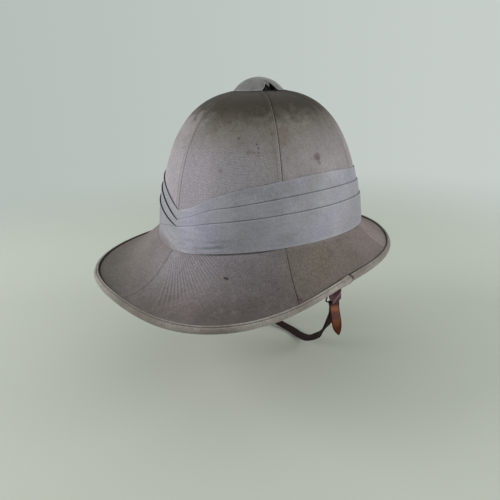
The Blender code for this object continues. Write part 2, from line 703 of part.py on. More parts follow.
def build_keeper(finish):
    """A leather loop round both layers of the short strap."""
    outline = bpy.data.curves.new("strap_keeper", "CURVE")
    outline.dimensions = "2D"
    outline.fill_mode = "BOTH"
    outline.extrude = KEEPER_HEIGHT / 2
    inner = (STRAP_WIDTH / 2 + 2 * GAP, STRAP_TURN_RADIUS + STRAP_THICKNESS / 2 + GAP)
    for margin in (KEEPER_THICKNESS, 0.0):
        spline = outline.splines.new("POLY")
        spline.points.add(3)
        for point, (i, j) in zip(spline.points, ((1, 1), (-1, 1), (-1, -1), (1, -1))):
            point.co = (i * (inner[0] + margin), j * (inner[1] + margin), 0, 1)
        spline.use_cyclic_u = True
    keeper = bpy.data.objects.new("strap_keeper", outline)
    outline.materials.append(finish)
    keeper.location = (*BUCKLE_CENTRE, KEEPER_MIDDLE)
    keeper.rotation_euler.z = math.radians(BUCKLE_FACING)
    collection(COLLECTION_NAME).objects.link(keeper)
    return keeper


# --- the whole helmet -----------------------------------------------------------------------------

def build():
    clear_scene()
    khaki = material("khaki_cloth", (0.36, 0.33, 0.29), 0.95)
    pith = material("pith", (0.55, 0.50, 0.40), 0.95)
    scarf = material("scarf_cloth", (0.40, 0.39, 0.38), 0.95)
    edging = material("edging_cloth", (0.42, 0.39, 0.36), 0.95)
    dark_metal = material("dark_metal", (0.10, 0.10, 0.10), 0.5, 0.8)
    leather = material("tan_leather", (0.30, 0.14, 0.07), 0.55)
    for side in WALL_JOINT_COLUMNS:
        build_crown_wall(side, pith)
    build_brim_wall(pith)
    for number in range(len(SEAMS)):
        build_gore(number, khaki)
    build_binding(edging)
    build_fold("pugaree_fold_upper", "fold_upper", 0, 5, scarf)
    build_fold("pugaree_fold_lower", "fold_lower", 1, 4, scarf)
    build_fold("pugaree_band", "band", 2, 3, scarf)
    build_cap(khaki)
    build_collar(dark_metal)
    build_headband(leather)
    build_short_strap(leather)
    build_long_strap(leather)
    build_buckle(dark_metal)
    build_keeper(leather)


build()
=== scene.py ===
import math
from functools import partialmethod, reduce

import bmesh
import bpy
import numpy as np
from mathutils import Matrix, Vector, noise


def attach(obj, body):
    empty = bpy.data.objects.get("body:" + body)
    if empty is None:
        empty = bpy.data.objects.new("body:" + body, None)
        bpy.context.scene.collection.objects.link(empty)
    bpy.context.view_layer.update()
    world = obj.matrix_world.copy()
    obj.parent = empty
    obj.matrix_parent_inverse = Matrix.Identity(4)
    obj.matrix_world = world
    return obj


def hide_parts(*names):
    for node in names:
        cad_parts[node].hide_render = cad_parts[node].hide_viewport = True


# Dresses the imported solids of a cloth-covered pith helmet: cloth gores with lapped seams, a rolled
# binding, a pleated scarf, a ventilator cap, a leather chin strap, and the studio round them.
# Metres, +Z up. The wearer looks along -Y. Azimuths are degrees from the back of the helmet (+Y)
# round by the wearer's right (-X). Tables round the helmet start at FIRST_AZIMUTH, by the back seam.

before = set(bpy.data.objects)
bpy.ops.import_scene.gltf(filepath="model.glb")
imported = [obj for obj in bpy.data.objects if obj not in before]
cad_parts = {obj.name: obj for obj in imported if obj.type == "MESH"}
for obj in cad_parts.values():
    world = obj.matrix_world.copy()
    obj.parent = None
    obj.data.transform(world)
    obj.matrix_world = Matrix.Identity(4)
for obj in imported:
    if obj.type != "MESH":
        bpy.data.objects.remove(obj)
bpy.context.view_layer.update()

# --- sizes of the helmet, as its solids have them -------------------------------------------------

FIRST_AZIMUTH = 3.0
CROWN_HALF_LENGTH, CROWN_HALF_WIDTH, CROWN_RISE = 0.1188, 0.1118, 0.2088
WIDEST_BELOW_SEAT = 0.0590
HEIGHT_EXPONENT, WIDTH_EXPONENT = 2.78, 2.87
VENT_HOLE_RADIUS = 0.0125
COVER_THICKNESS, SHELL_THICKNESS, GAP = 0.0010, 0.0042, 0.0003
EDGE_TAPER = 0.0009             # how much the wall thins out towards the binding
SEAM_HALF_GAP = 0.0002
BRIM_SECTIONS = {               # every 30 degrees from the back to the front
    "foot_height": (0.0008, 0.0038, 0.0091, 0.0115, 0.0081, 0.0020, -0.0012),
    "edge_radius": (0.1842, 0.1914, 0.1657, 0.1406, 0.1443, 0.1498, 0.1596),
    "edge_height": (-0.0404, -0.0388, -0.0315, -0.0222, -0.0173, -0.0186, -0.0205),
    "flare":       (1.28, 0.92, 0.50, 0.40, 0.40, 0.50, 0.60),
}
GORE_ROWS, WALL_ROWS = (0.0034, 0.0032, 2.35, 3.0), (0.0050, 0.0050, 3.0)   # see ways_down
BINDING_LAP, BINDING_UNDERLAP, BINDING_THICKNESS = 0.0035, 0.0060, 0.0010
BINDING_ROUND_INSET = 0.0017
BEAD_RADIUS, BEAD_PLACE = 0.0011, (0.0011, 0.0009)      # the tape's turned-in edge, on the brim
JOIN_AZIMUTH, JOIN_LAP, JOIN_MARK = 86.9, 0.00095, (-0.15, 1.15)    # the binding's end laps over its start
JOIN_REACH = 9.0                                        # how far the join is drawn finely, in degrees
SEAMS_ON_CROWN = (3.0, 62.3, 120.5, 180.0, 239.5, 297.7, 363.0)
SEAMS_ON_BRIM = (0.0, 62.3, 120.5, 180.0, 239.5, 297.7, 360.0)
SEAM_COLUMNS = np.array([0.0, 0.00025, 0.0006, 0.0010, 0.0016, 0.0026, 0.0038, 0.0048, 0.0058, 0.0070])
LAP_HEIGHT, LAP_WIDTH, BRIM_LAP, SEAM_DIP = 0.00055, 0.0048, 0.25, 0.00032
STITCH_PITCH, THREAD_RADIUS, STITCH_INSET, STITCHES_START = 0.0024, 0.00016, 0.0016, 0.0285
SCARF_EDGES = {                 # height of each free edge above the scarf's foot
    "azimuth":    (3, 14, 25, 38, 55, 90, 123, 180, 270, 310, 328, 345, 355, 363),
    "fold_upper": (0.0405, 0.0462, 0.0549, 0.0606, 0.0634, 0.0651, 0.0642, 0.0642, 0.0645,
                   0.0650, 0.0640, 0.0583, 0.0500, 0.0405),
    "fold_lower": (0.0305, 0.0372, 0.0436, 0.0460, 0.0480, 0.0490, 0.0502, 0.0500, 0.0510,
                   0.0520, 0.0520, 0.0472, 0.0388, 0.0305),
    "band":       (0.0237, 0.0276, 0.0309, 0.0323, 0.0330, 0.0332, 0.0350, 0.0350, 0.0370,
                   0.0385, 0.0385, 0.0343, 0.0288, 0.0237),
}
SCARF_FOOT_DROP = 0.0030
FOLD_THICKNESS, FOLD_SPACING, FOLD_FIRST_OFFSET = 0.0007, 0.0009, 0.0003    # drawn tight, turn on turn
FOLD_ROWS = np.array([0.0, 0.00022, 0.0006, 0.0012, 0.0022, 0.0034])        # down from a folded edge
CREASE_ROWS = np.array([-0.0007, -0.0002, 0.0004, 0.0012, 0.0030])          # where the next turn covers it
FOOT_ABOVE_BRIM, FOOT_BEND, FOOT_ROWS = 0.0008, 0.0095, 12                  # the band bends out at its foot
SCARF_SPREAD = {                # how far the band's foot spreads over the brim
    "azimuth": (3, 14, 26, 60, 300, 340, 363),
    "width":   (0.0016, 0.0010, 0.0002, 0.0, 0.0, 0.0012, 0.0016),
}
CREASE_LINE = {                 # how dark the painted shadow and dirt in the gap under each turn are
    "azimuth":  (3, 6, 20, 40, 100, 200, 320, 340, 361, 363),
    "strength": (0.55, 0.30, 0.45, 0.62, 0.60, 0.60, 0.80, 1.0, 1.0, 0.60),
}
FOOT_LINE = {                   # how dark the painted shadow line under the band's foot is
    "azimuth":  (3, 8, 20, 31, 52, 59, 66, 120, 300, 345, 363),
    "strength": (0.0, 0.05, 0.20, 0.90, 0.80, 0.20, 0.05, 0.20, 0.40, 0.0, 0.0),
}
DUSTY_BELOW = {                 # height up to which brim dust has settled on the band
    "azimuth": (3, 9, 30, 290, 320, 336, 346, 349, 354, 358, 361, 363),
    "height":  (-0.0040, -0.0060, -0.0060, -0.0060, -0.0030, 0.0005, 0.0020, 0.0026, 0.0020,
                -0.0010, -0.0025, -0.0040),
}
SIDE_CREASE = {                 # a crease pressed through the band beside the V, drawn only as a painted shadow line, and how dark it is
    "azimuth": (3, 20, 320, 341, 347.6, 353.8, 361, 363),
    "height":  (0.0225, 0.0225, 0.0060, 0.0137, 0.0168, 0.0193, 0.0221, 0.0225),
    "dark":    (0.0, 0.0, 0.0, 0.5, 0.6, 0.6, 0.5, 0.0),
}
EDGE_SHADE = {                  # how wide the painted shade line, with dirt, inside the binding is
    "azimuth": (3, 10, 58, 68, 88, 97, 112, 150, 200, 300, 325, 350, 363),
    "width":   (1.2, 1.0, 1.0, 1.6, 1.8, 1.1, 0.7, 0.7, 1.0, 1.2, 2.0, 1.9, 1.2),
}
BINDING_GROOVE = {              # how dark the painted shade, with dirt, in the groove behind the binding's bead is, and on its lip, and its tone
    "azimuth": (3, 60, 80, 95, 125, 150, 200, 300, 363),
    "depth":   (1.0, 0.8, 0.5, 0.12, 0.12, 0.3, 0.5, 1.0, 1.0),
    "lip":     (1.0, 1.0, 0.9, 0.55, 0.45, 0.6, 1.0, 1.0, 1.0),
    "tone":    (0.98, 1.08, 1.16, 0.98, 0.70, 0.80, 1.0, 1.0, 0.98),
}
BINDING_SAG = {                 # how far the roll hangs below the wall's edge round its join
    "azimuth": (3, 62, 74, 84, 90, 98, 108, 122, 200, 363),
    "sag":     (0.0, 0.0, 0.0012, 0.0020, 0.0029, 0.0026, 0.0011, 0.0, 0.0, 0.0),
}
BRIM_TONES = {                  # painted light and shade near the band and near the binding, and mauve dust
    "azimuth": (3, 20, 45, 60, 80, 110, 150, 200, 300, 325, 345, 357, 363),
    "inner":   (1.14, 1.04, 0.73, 0.88, 1.0, 1.0, 1.0, 1.0, 0.97, 0.95, 0.98, 1.05, 1.14),
    "outer":   (0.94, 0.88, 0.68, 0.74, 0.92, 1.0, 1.0, 1.0, 0.85, 0.56, 0.58, 0.74, 0.94),
    "mauve":   (1.0, 1.0, 0.8, 0.3, 0.0, 0.0, 0.0, 0.0, 0.2, 0.3, 0.5, 0.8, 1.0),
}
CROWN_SHADING = {                 # painted light and shade round the crown's cloth
    "azimuth": (3, 12, 22, 40, 55, 75, 90, 100, 118, 140, 180, 240, 300, 345, 363),
    "tone":    (0.93, 0.96, 1.03, 1.0, 1.03, 1.10, 0.96, 0.87, 0.85, 0.92, 0.96, 1.0, 1.0, 0.95, 0.93),
}
SCARF_SHADING = {                 # painted light and shade round the scarf's cloth
    "azimuth": (3, 12, 24, 40, 60, 80, 93, 105, 114, 140, 200, 300, 345, 354, 363),
    "tone":    (1.0, 1.19, 1.05, 0.95, 0.97, 1.06, 1.10, 0.99, 0.85, 0.92, 1.0, 0.98, 0.88, 0.88, 1.0),
}
GORE_TONES = ((0.98, 0.0), (0.96, -0.4), (1.08, 0.4), (1.0, 0.2), (0.98, 0.0), (1.10, -0.2))  # and pinkness
SEAM_LINES = (0.25, 1.0, 0.8, 0.7, 0.8, 0.8)        # how dark each seam's painted shadow line is
SEAM_RELIEF = (0.35, 1.0, 0.8, 1.0, 1.0, 1.0)       # how high each seam's lap stands
BRIM_CREASES = (                # from, to and height of the shallow creases in the left of the back brim
    ((0.066, 0.130, -0.022), (0.056, 0.146, -0.031), 0.0007),
    ((0.047, 0.136, -0.023), (0.044, 0.146, -0.029), -0.0006),
    ((0.030, 0.150, -0.028), (0.058, 0.156, -0.036), 0.0004),
)
CAP_RADIUS, CAP_RIM_HEIGHT, CAP_TOP_HEIGHT, CAP_THICKNESS = 0.0266, 0.1493, 0.1630, 0.0015
NOTCH_AZIMUTH = 77.0
NOTCH_OUTLINE = {               # along the rim, and how far the cloth is lifted there
    "along": (-0.0090, -0.0050, -0.0037, -0.0024, -0.0011, 0.0, 0.0012, 0.0023, 0.0042, 0.0062, 0.0089,
              0.0112),
    "lift":  (0.0, 0.0049, 0.0082, 0.0088, 0.0066, 0.0043, 0.0066, 0.0112, 0.0092, 0.0064, 0.0028, 0.0),
}
COLLAR_BASE_HEIGHT, COLLAR_HEIGHT, COLLAR_INNER_RADIUS = 0.1501, 0.0034, 0.0130
COLLAR_RADIUS, CRIMP_DEPTH, CRIMPS, COLLAR_ROUNDING = 0.0187, 0.0009, 20.0, 0.0002
HEADBAND_HALF_LENGTH, HEADBAND_HALF_WIDTH = 0.1000, 0.0840
HEADBAND_THICKNESS, HEADBAND_HEIGHT, HEADBAND_OFF_COVER = 0.0018, 0.0400, 0.0061
STRAP_WIDTH, STRAP_THICKNESS, STRAP_EDGE = 0.0115, 0.0018, 0.00055
STRAP_SEWN_HEIGHTS, STRAP_SEWN_AZIMUTH = (0.0300, 0.0200, 0.0100), 114.3
BUCKLE_CENTRE, BUCKLE_FACING = (-0.0846, -0.0375), 61.0
BUCKLE_TOP_BAR, BUCKLE_BOTTOM_BAR = -0.0780, -0.0870
BUCKLE_WIDTH, BUCKLE_WIRE_RADIUS, BUCKLE_CORNER_RADIUS = 0.0152, 0.0008, 0.0018
BUCKLE_TILT, BUCKLE_SHIFT = math.radians(17), 0.0014    # the frame hangs askew in its turns of leather
STRAP_TURN_RADIUS, STRAIGHT_ABOVE_BAR, TURNED_UP_LENGTH = 0.0021, 0.0080, 0.0150
KEEPER_HEIGHT, KEEPER_MIDDLE, KEEPER_THICKNESS, KEEPER_CORNER = 0.0060, -0.0690, 0.0011, 0.0009
KEEPER_TAB = {                  # lower edge of the keeper's front, from side to side
    "across": (-0.0075, -0.0070, -0.0058, -0.0040, -0.0030, 0.0015, 0.0029, 0.0034, 0.0060, 0.0069, 0.0075),
    "low":    (-0.0790, -0.0805, -0.0820, -0.0840, -0.0862, -0.0866, -0.0863, -0.0835, -0.0812, -0.0788,
               -0.0720),
}
SHORT_STRAP_ROUTE = {           # from below the headband down to the buckle
    "x":       (-0.0816, -0.0826, -0.0846, -0.0862),
    "y":       (-0.0362, -0.0364, -0.0366, -0.0366),
    "z":       (-0.0050, -0.0220, -0.0400, -0.0560),
    "facing":  (107.0, 98.0, 78.0, 64.0),
}
FREE_END_ROUTE = {              # from the pointed tip up towards the buckle
    "x":       (-0.0913, -0.0905, -0.0898, -0.0889, -0.0877, -0.0865),
    "y":       (-0.0406, -0.0399, -0.0393, -0.0387, -0.0376, -0.0366),
    "z":       (-0.1280, -0.1238, -0.1194, -0.1119, -0.1027, -0.0930),
    "facing":  (50.0, 50.0, 50.0, 52.0, 56.0, 60.0),
    "width":   (0.0014, 0.0066, 0.0098, 0.0115, 0.0115, 0.0115),
}
CHIN_ROUTE = {                  # from below the buckle, under the chin and up to the wearer's left
    "x":        (-0.0817, -0.0817, -0.0810, -0.0791, -0.0765, -0.0733, -0.0687, -0.0636, -0.0578,
                 -0.0495, -0.0390, -0.0240, 0.0000, 0.0240, 0.0470, 0.0670, 0.0780, 0.0812, 0.0818),
    "y":        (-0.0407, -0.0407, -0.0404, -0.0389, -0.0375, -0.0372, -0.0386, -0.0403, -0.0416,
                 -0.0420, -0.0420, -0.0450, -0.0490, -0.0465, -0.0405, -0.0375, -0.0368, -0.0364,
                 -0.0362),
    "z":        (-0.0924, -0.0976, -0.1033, -0.1102, -0.1172, -0.1237, -0.1304, -0.1368, -0.1426,
                 -0.1488, -0.1552, -0.1600, -0.1620, -0.1590, -0.1450, -0.1180, -0.0850, -0.0450,
                 -0.0050),
    "across_x": (0.33, 0.34, 0.28, 0.16, -0.01, -0.07, -0.22, -0.34, -0.31,
                 -0.28, -0.03, 0.00, 0.00, 0.05, 0.10, 0.20, 0.28, 0.30, 0.30),
    "across_y": (0.93, 0.94, 0.94, 0.96, 0.99, 0.99, 0.90, 0.79, 0.82,
                 0.85, 0.94, 0.99, 1.00, 1.00, 0.98, 0.96, 0.95, 0.95, 0.95),
    "across_z": (-0.16, 0.05, 0.19, 0.25, 0.12, -0.12, -0.38, -0.50, -0.48,
                 -0.44, -0.34, -0.15, -0.05, 0.00, 0.00, 0.00, 0.00, 0.00, 0.00),
}
FLOOR_HEIGHT = -0.1640
FULL_TURN = 2 * math.pi
UP = np.array([0, 0, 1.0])

# --- curves and surfaces of the helmet ------------------------------------------------------------

ORDERS = np.arange(7)
HARMONICS = {name: np.linalg.solve(np.cos(math.radians(30) * np.outer(ORDERS, ORDERS)), np.array(values))
             for name, values in BRIM_SECTIONS.items()}


def round_brim(name, azimuth):
    """A brim size at any azimuth, on the smooth curve through its table."""
    return np.cos(np.radians(np.asarray(azimuth, float))[..., None] * ORDERS) @ HARMONICS[name]


def in_tables(azimuth):
    """The azimuth counted on from where the tables round the helmet start."""
    return FIRST_AZIMUTH + (np.asarray(azimuth, float) - FIRST_AZIMUTH) % 360.0


def eased(table, name, at, first="azimuth"):
    """Cubic through a table's rows, with the slope of the neighbours at each row."""
    places, values = np.array(table[first], float), np.array(table[name], float)
    slopes = np.gradient(values, places)
    row = np.clip(np.searchsorted(places, at) - 1, 0, len(places) - 2)
    span = places[row + 1] - places[row]
    t = (at - places[row]) / span
    return ((2 * t**3 - 3 * t**2 + 1) * values[row] + (t**3 - 2 * t**2 + t) * span * slopes[row]
            + (3 * t**2 - 2 * t**3) * values[row + 1] + (t**3 - t**2) * span * slopes[row + 1])


def ring_table(table, name, azimuth):
    """A table's value at any azimuth, straight between its rows."""
    return np.interp(in_tables(azimuth), table["azimuth"], table[name])


def smooth_step(value, low, high):
    t = np.clip((value - low) / (high - low), 0, 1)
    return t * t * (3 - 2 * t)


def around(azimuth, radius, height):
    angle = np.radians(azimuth)
    return np.stack(np.broadcast_arrays(-radius * np.sin(angle), radius * np.cos(angle), height), -1)


def unit(vectors):
    return vectors / np.maximum(np.linalg.norm(vectors, axis=-1, keepdims=True), 1e-12)


def lengths(points):
    """How far along a line of points each of them lies."""
    return np.concatenate([[0], np.cumsum(np.linalg.norm(np.diff(points, axis=0), axis=1))])


def level_radius(points):
    return np.linalg.norm(points[..., :2], axis=-1)


def oval_radius(half_length, half_width, azimuth):
    angle = np.radians(azimuth)
    return half_length * half_width / np.hypot(half_width * np.cos(angle), half_length * np.sin(angle))


def crown_radius(azimuth, height):
    rise = (height + WIDEST_BELOW_SEAT) / CROWN_RISE
    widest = oval_radius(CROWN_HALF_LENGTH, CROWN_HALF_WIDTH, azimuth)
    return widest * (1 - rise**HEIGHT_EXPONENT) ** (1 / WIDTH_EXPONENT)


def crown_foot_radius(azimuth):
    return crown_radius(azimuth, round_brim("foot_height", azimuth))


def brim_section(azimuth, share):
    """Radius and height on the brim, from the crown's foot (0) to the binding's inner line (1)."""
    foot, edge_radius, edge_height, flare = (round_brim(name, azimuth) for name in BRIM_SECTIONS)
    inner = crown_radius(azimuth, foot)
    drop = (1 + flare) * share - flare * share**2
    return inner + (edge_radius - inner) * share, foot + (edge_height - foot) * drop


def brim_height(azimuth, radius):
    inner, outer = brim_section(azimuth, 0.0)[0], brim_section(azimuth, 1.0)[0]
    return brim_section(azimuth, (radius - inner) / (outer - inner))[1]


def cover_point(azimuth, way):
    """The cloth's outside: way 0 at the vent hole, 1 at the crown's foot, 2 where the binding
    begins and 3 at the hidden edge inside the binding."""
    azimuth, way = np.broadcast_arrays(np.asarray(azimuth, float), np.asarray(way, float))
    foot = round_brim("foot_height", azimuth)
    top = math.acos((VENT_HOLE_RADIUS / CROWN_HALF_WIDTH) ** (WIDTH_EXPONENT / 2))
    low = np.arcsin(((foot + WIDEST_BELOW_SEAT) / CROWN_RISE) ** (HEIGHT_EXPONENT / 2))
    angle = top + (low - top) * np.clip(way, 0, 1)
    widest = oval_radius(CROWN_HALF_LENGTH, CROWN_HALF_WIDTH, azimuth)
    crown = np.stack([widest * np.cos(angle) ** (2 / WIDTH_EXPONENT),
                      CROWN_RISE * np.sin(angle) ** (2 / HEIGHT_EXPONENT) - WIDEST_BELOW_SEAT], -1)
    brim = np.stack(brim_section(azimuth, np.clip(way - 1, 0, 1)), -1)
    slope = unit(np.stack(brim_section(azimuth, 1.0), -1) - np.stack(brim_section(azimuth, 0.98), -1))
    flat = np.where((way <= 1)[..., None], crown, brim)
    flat = flat + slope * (np.clip(way - 2, 0, 1) * BINDING_LAP)[..., None]
    return around(azimuth, flat[..., 0], flat[..., 1])


def cover_normal(azimuth, way):
    down = cover_point(azimuth, way + 0.006) - cover_point(azimuth, way - 0.006)
    along = cover_point(azimuth + 0.3, way) - cover_point(azimuth - 0.3, way)
    return unit(np.cross(down, along))


def even_ways(start, end, spacing):
    """Ways down the helmet's side that lie about the same distance apart."""
    fine = np.linspace(start, end, 600)
    reach = lengths(cover_point(60.0, fine))
    return np.interp(np.linspace(0, reach[-1], int(round(reach[-1] / spacing)) + 1), reach, fine)


def ways_down(on_crown, on_brim, *last):
    """Ways of a piece's rows: so far apart on the crown and on the brim, and then the last ones."""
    return np.concatenate([even_ways(0.0, 1.0, on_crown), even_ways(1.0, 2.0, on_brim)[1:], last])[:, None]


def to_brim(way):
    """0 on the crown, 1 on the brim: where the back seam swings from one azimuth to the other."""
    return smooth_step(way, 0.97, 1.06)


def lumps(points, scale, place=0.0):
    """Smooth unevenness, between about -1 and 1, with a set number of swells to the metre."""
    flat = np.asarray(points, float).reshape(-1, 3) * scale + place
    return np.array([noise.noise(Vector(p)) for p in flat]).reshape(np.shape(points)[:-1])


# --- meshes ---------------------------------------------------------------------------------------

def cleaned(mesh, weld):
    """The mesh with points nearer than the weld joined, its faces outward, and smooth but for edges."""
    work = bmesh.new()
    work.from_mesh(mesh)
    if weld:
        bmesh.ops.remove_doubles(work, verts=work.verts, dist=weld)
    bmesh.ops.recalc_face_normals(work, faces=work.faces)
    work.to_mesh(mesh)
    work.free()
    mesh.shade_smooth()
    mesh.set_sharp_from_angle(angle=math.radians(50))
    return mesh


def mesh_from(name, points, faces, flat, marks, weld=0.0):
    """A mesh with its cloth laid flat as a UV map, and marks as attributes."""
    mesh = bpy.data.meshes.new(name)
    mesh.from_pydata([tuple(p) for p in points], [], [list(map(int, f)) for f in faces])
    mesh.uv_layers.new(name="cloth").uv.foreach_set("vector", np.asarray(flat, np.float32).ravel())
    for mark, values in marks.items():
        layer = mesh.attributes.new(mark, "FLOAT", "POINT")
        layer.data.foreach_set("value", np.asarray(values, np.float32).ravel())
    return cleaned(mesh, weld)


def grid_faces(rows, columns, wrap_rows, wrap_columns):
    """Corner numbers of the faces between rows and columns of points, and of their flat pattern."""
    i = np.arange(rows if wrap_rows else rows - 1)[:, None]
    j = np.arange(columns if wrap_columns else columns - 1)[None, :]

    def corners(below, beside, wide):
        numbers = [i * wide + j, below * wide + j, below * wide + beside, i * wide + beside]
        return np.stack(numbers, -1).reshape(-1, 4)

    return corners((i + 1) % rows, (j + 1) % columns, columns), corners(i + 1, j + 1, columns + 1)


def laid_out(across, down):
    """A flat pattern from the places of its columns and of its rows."""
    return np.stack(np.broadcast_arrays(across[None, :], down[:, None]), -1)


def there_and_back(values):
    """Places of rows that go down one side, up the other and close."""
    return np.concatenate([values, values[::-1], values[:1]])


def one_more(places, step):
    """Places with another one a step after the last, to close a ring's pattern."""
    return np.append(places, places[-1] + step)


def ring_mesh(name, points, flat, marks=None, wrap_rows=True, weld=0.0):
    """Rows of points that close into rings; the flat pattern has one more row and column."""
    rows, columns = points.shape[:2]
    faces, pattern = grid_faces(rows, columns, wrap_rows, True)
    marks = {mark: np.broadcast_to(values, (rows, columns)) for mark, values in (marks or {}).items()}
    return mesh_from(name, points.reshape(-1, 3), faces, flat.reshape(-1, 2)[pattern], marks, weld)


def sheet_mesh(name, outer, inner, flat, marks):
    """A closed piece of cloth between an outer and an inner sheet of points."""
    rows, columns = outer.shape[:2]
    points = np.concatenate([outer.reshape(-1, 3), inner.reshape(-1, 3)])
    under, last, end = rows * columns, (rows - 1) * columns, columns - 1
    quads, _ = grid_faces(rows, columns, False, False)
    j, a = np.arange(columns - 1), np.arange(rows - 1) * columns
    b = a + columns
    faces = np.concatenate([
        quads, quads[:, ::-1] + under,
        np.stack([j, j + 1, under + j + 1, under + j], -1),
        np.stack([last + j + 1, last + j, under + last + j, under + last + j + 1], -1),
        np.stack([b, a, under + a, under + b], -1),
        np.stack([a + end, b + end, under + b + end, under + a + end], -1)])
    marks = {mark: np.tile(np.broadcast_to(values, (rows, columns)), (2, 1))
             for mark, values in marks.items()}
    return mesh_from(name, points, faces, flat.reshape(-1, 2)[faces % under], marks)


def show(name, mesh, finish, slot, *nodes):
    """Puts a finished mesh into the scene as a piece that stands for CAD nodes."""
    piece = bpy.data.objects.new(name, mesh)
    bpy.context.scene.collection.objects.link(piece)
    mesh.materials.clear()
    mesh.materials.append(finish)
    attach(piece, "root")
    if nodes:
        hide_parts(*nodes)
    return piece


# --- node trees -----------------------------------------------------------------------------------

class Value:
    """One socket of a node tree, which can be used in sums."""

    def __init__(self, tree, socket):
        self.tree, self.socket = tree, socket

    def math(self, operation, *others):
        return node(self.tree, "ShaderNodeMath", {"operation": operation}, dict(enumerate((self, *others))))

    def vector(self, operation, *others, output=0):
        return node(self.tree, "ShaderNodeVectorMath", {"operation": operation},
                    dict(enumerate((self, *others))), output)

    def __rsub__(self, other):
        return node(self.tree, "ShaderNodeMath", {"operation": "SUBTRACT"}, {0: other, 1: self})

    __add__ = __radd__ = partialmethod(math, "ADD")
    __mul__ = __rmul__ = partialmethod(math, "MULTIPLY")
    __sub__, __pow__ = partialmethod(math, "SUBTRACT"), partialmethod(math, "POWER")
    __neg__ = partialmethod(math, "MULTIPLY", -1.0)
    most, least = partialmethod(math, "MAXIMUM"), partialmethod(math, "MINIMUM")
    sine, cosine = partialmethod(math, "SINE"), partialmethod(math, "COSINE")

    def rises(self, low, high, top=1.0, bottom=0.0):
        """Eases from bottom at low to top at high, and holds there."""
        return node(self.tree, "ShaderNodeMapRange", {"interpolation_type": "SMOOTHSTEP"},
                    {"Value": self, "From Min": low, "From Max": high, "To Min": bottom, "To Max": top})

    def fades(self, low, high, top=1.0, bottom=0.0):
        """Eases from top at low down to bottom at high, and holds there."""
        return self.rises(low, high, bottom, top)

    def part(self, axis):
        return node(self.tree, "ShaderNodeSeparateXYZ", {}, {0: self}, axis)


def node(tree, kind, settings=None, inputs=None, output=0):
    """Adds a node, sets it up, feeds its inputs with values or other sockets, and gives an output."""
    made = tree.nodes.new(kind)
    for name, value in (settings or {}).items():
        setattr(made, name, value)
    for name, value in (inputs or {}).items():
        feed(tree, made.inputs[name], value)
    return Value(tree, made.outputs[output])


def together(tree, x, y, z):
    return node(tree, "ShaderNodeCombineXYZ", {}, {0: x, 1: y, 2: z})


def feed(tree, socket, value):
    if isinstance(value, Value):
        tree.links.new(value.socket, socket)
    elif isinstance(value, tuple) and socket.type == "RGBA":
        socket.default_value = (*value, 1.0)
    else:
        socket.default_value = value


class Finish:
    """A material being mixed: places to read from, patterns, and colours laid over each other."""

    def __init__(self, name, **constants):
        self.material = bpy.data.materials.new(name)
        self.material.use_nodes = True
        self.tree = self.material.node_tree
        self.tree.nodes.clear()
        self.shader = self.tree.nodes.new("ShaderNodeBsdfPrincipled")
        for socket, value in constants.items():
            feed(self.tree, self.shader.inputs[socket.replace("_", " ")], value)
        self.out = self.tree.nodes.new("ShaderNodeOutputMaterial")
        self.tree.links.new(self.shader.outputs["BSDF"], self.out.inputs["Surface"])
        self.place = node(self.tree, "ShaderNodeTexCoord", output="Object")
        self.height = self.place.part("Z")
        pattern = node(self.tree, "ShaderNodeUVMap", {"uv_map": "cloth"})
        self.across, self.along = pattern.part("X"), pattern.part("Y")

    def mark(self, name):
        return node(self.tree, "ShaderNodeAttribute", {"attribute_name": name}, output="Fac")

    def at(self, x, y, z=0.0):
        return together(self.tree, x, y, z)

    def clouds(self, scale, detail=2.0, roughness=0.5, where=None):
        """Noise round a half, with a set number of swells to the metre."""
        return node(self.tree, "ShaderNodeTexNoise", {}, {"Vector": where or self.place, "Scale": scale,
                                                          "Detail": detail, "Roughness": roughness})

    def pits(self, scale, smoothness):
        """The pebbled grain of leather."""
        return node(self.tree, "ShaderNodeTexVoronoi", {"feature": "SMOOTH_F1"},
                    {"Vector": self.place, "Scale": scale, "Smoothness": smoothness}, "Distance")

    def distance(self, point):
        return self.place.vector("DISTANCE", point, output="Value")

    def near(self, point, inner, outer, strength=1.0):
        """Full strength up to the inner distance from a point, nothing from the outer one on."""
        return self.distance(point).fades(inner, outer, strength)

    def mix(self, below, above, amount, blend="MIX"):
        return node(self.tree, "ShaderNodeMix", {"data_type": "RGBA", "blend_type": blend},
                    {0: amount, 6: below, 7: above}, 2)

    def laid(self, colour, *layers):
        """A colour with others laid over it in turn, each by its own amount."""
        for above, amount in layers:
            colour = self.mix(colour, above, amount)
        return colour

    def toned(self, colour, factor):
        return node(self.tree, "ShaderNodeVectorMath", {"operation": "SCALE"}, {0: colour, "Scale": factor})

    def done(self, colour, roughness, height=None, depth=0.00016, strength=0.9):
        feed(self.tree, self.shader.inputs["Base Color"], colour)
        feed(self.tree, self.shader.inputs["Roughness"], roughness)
        if height is not None:
            bump = node(self.tree, "ShaderNodeBump", {},
                        {"Strength": strength, "Distance": depth, "Height": height})
            feed(self.tree, self.shader.inputs["Normal"], bump)
        return self.material


# --- materials ------------------------------------------------------------------------------------

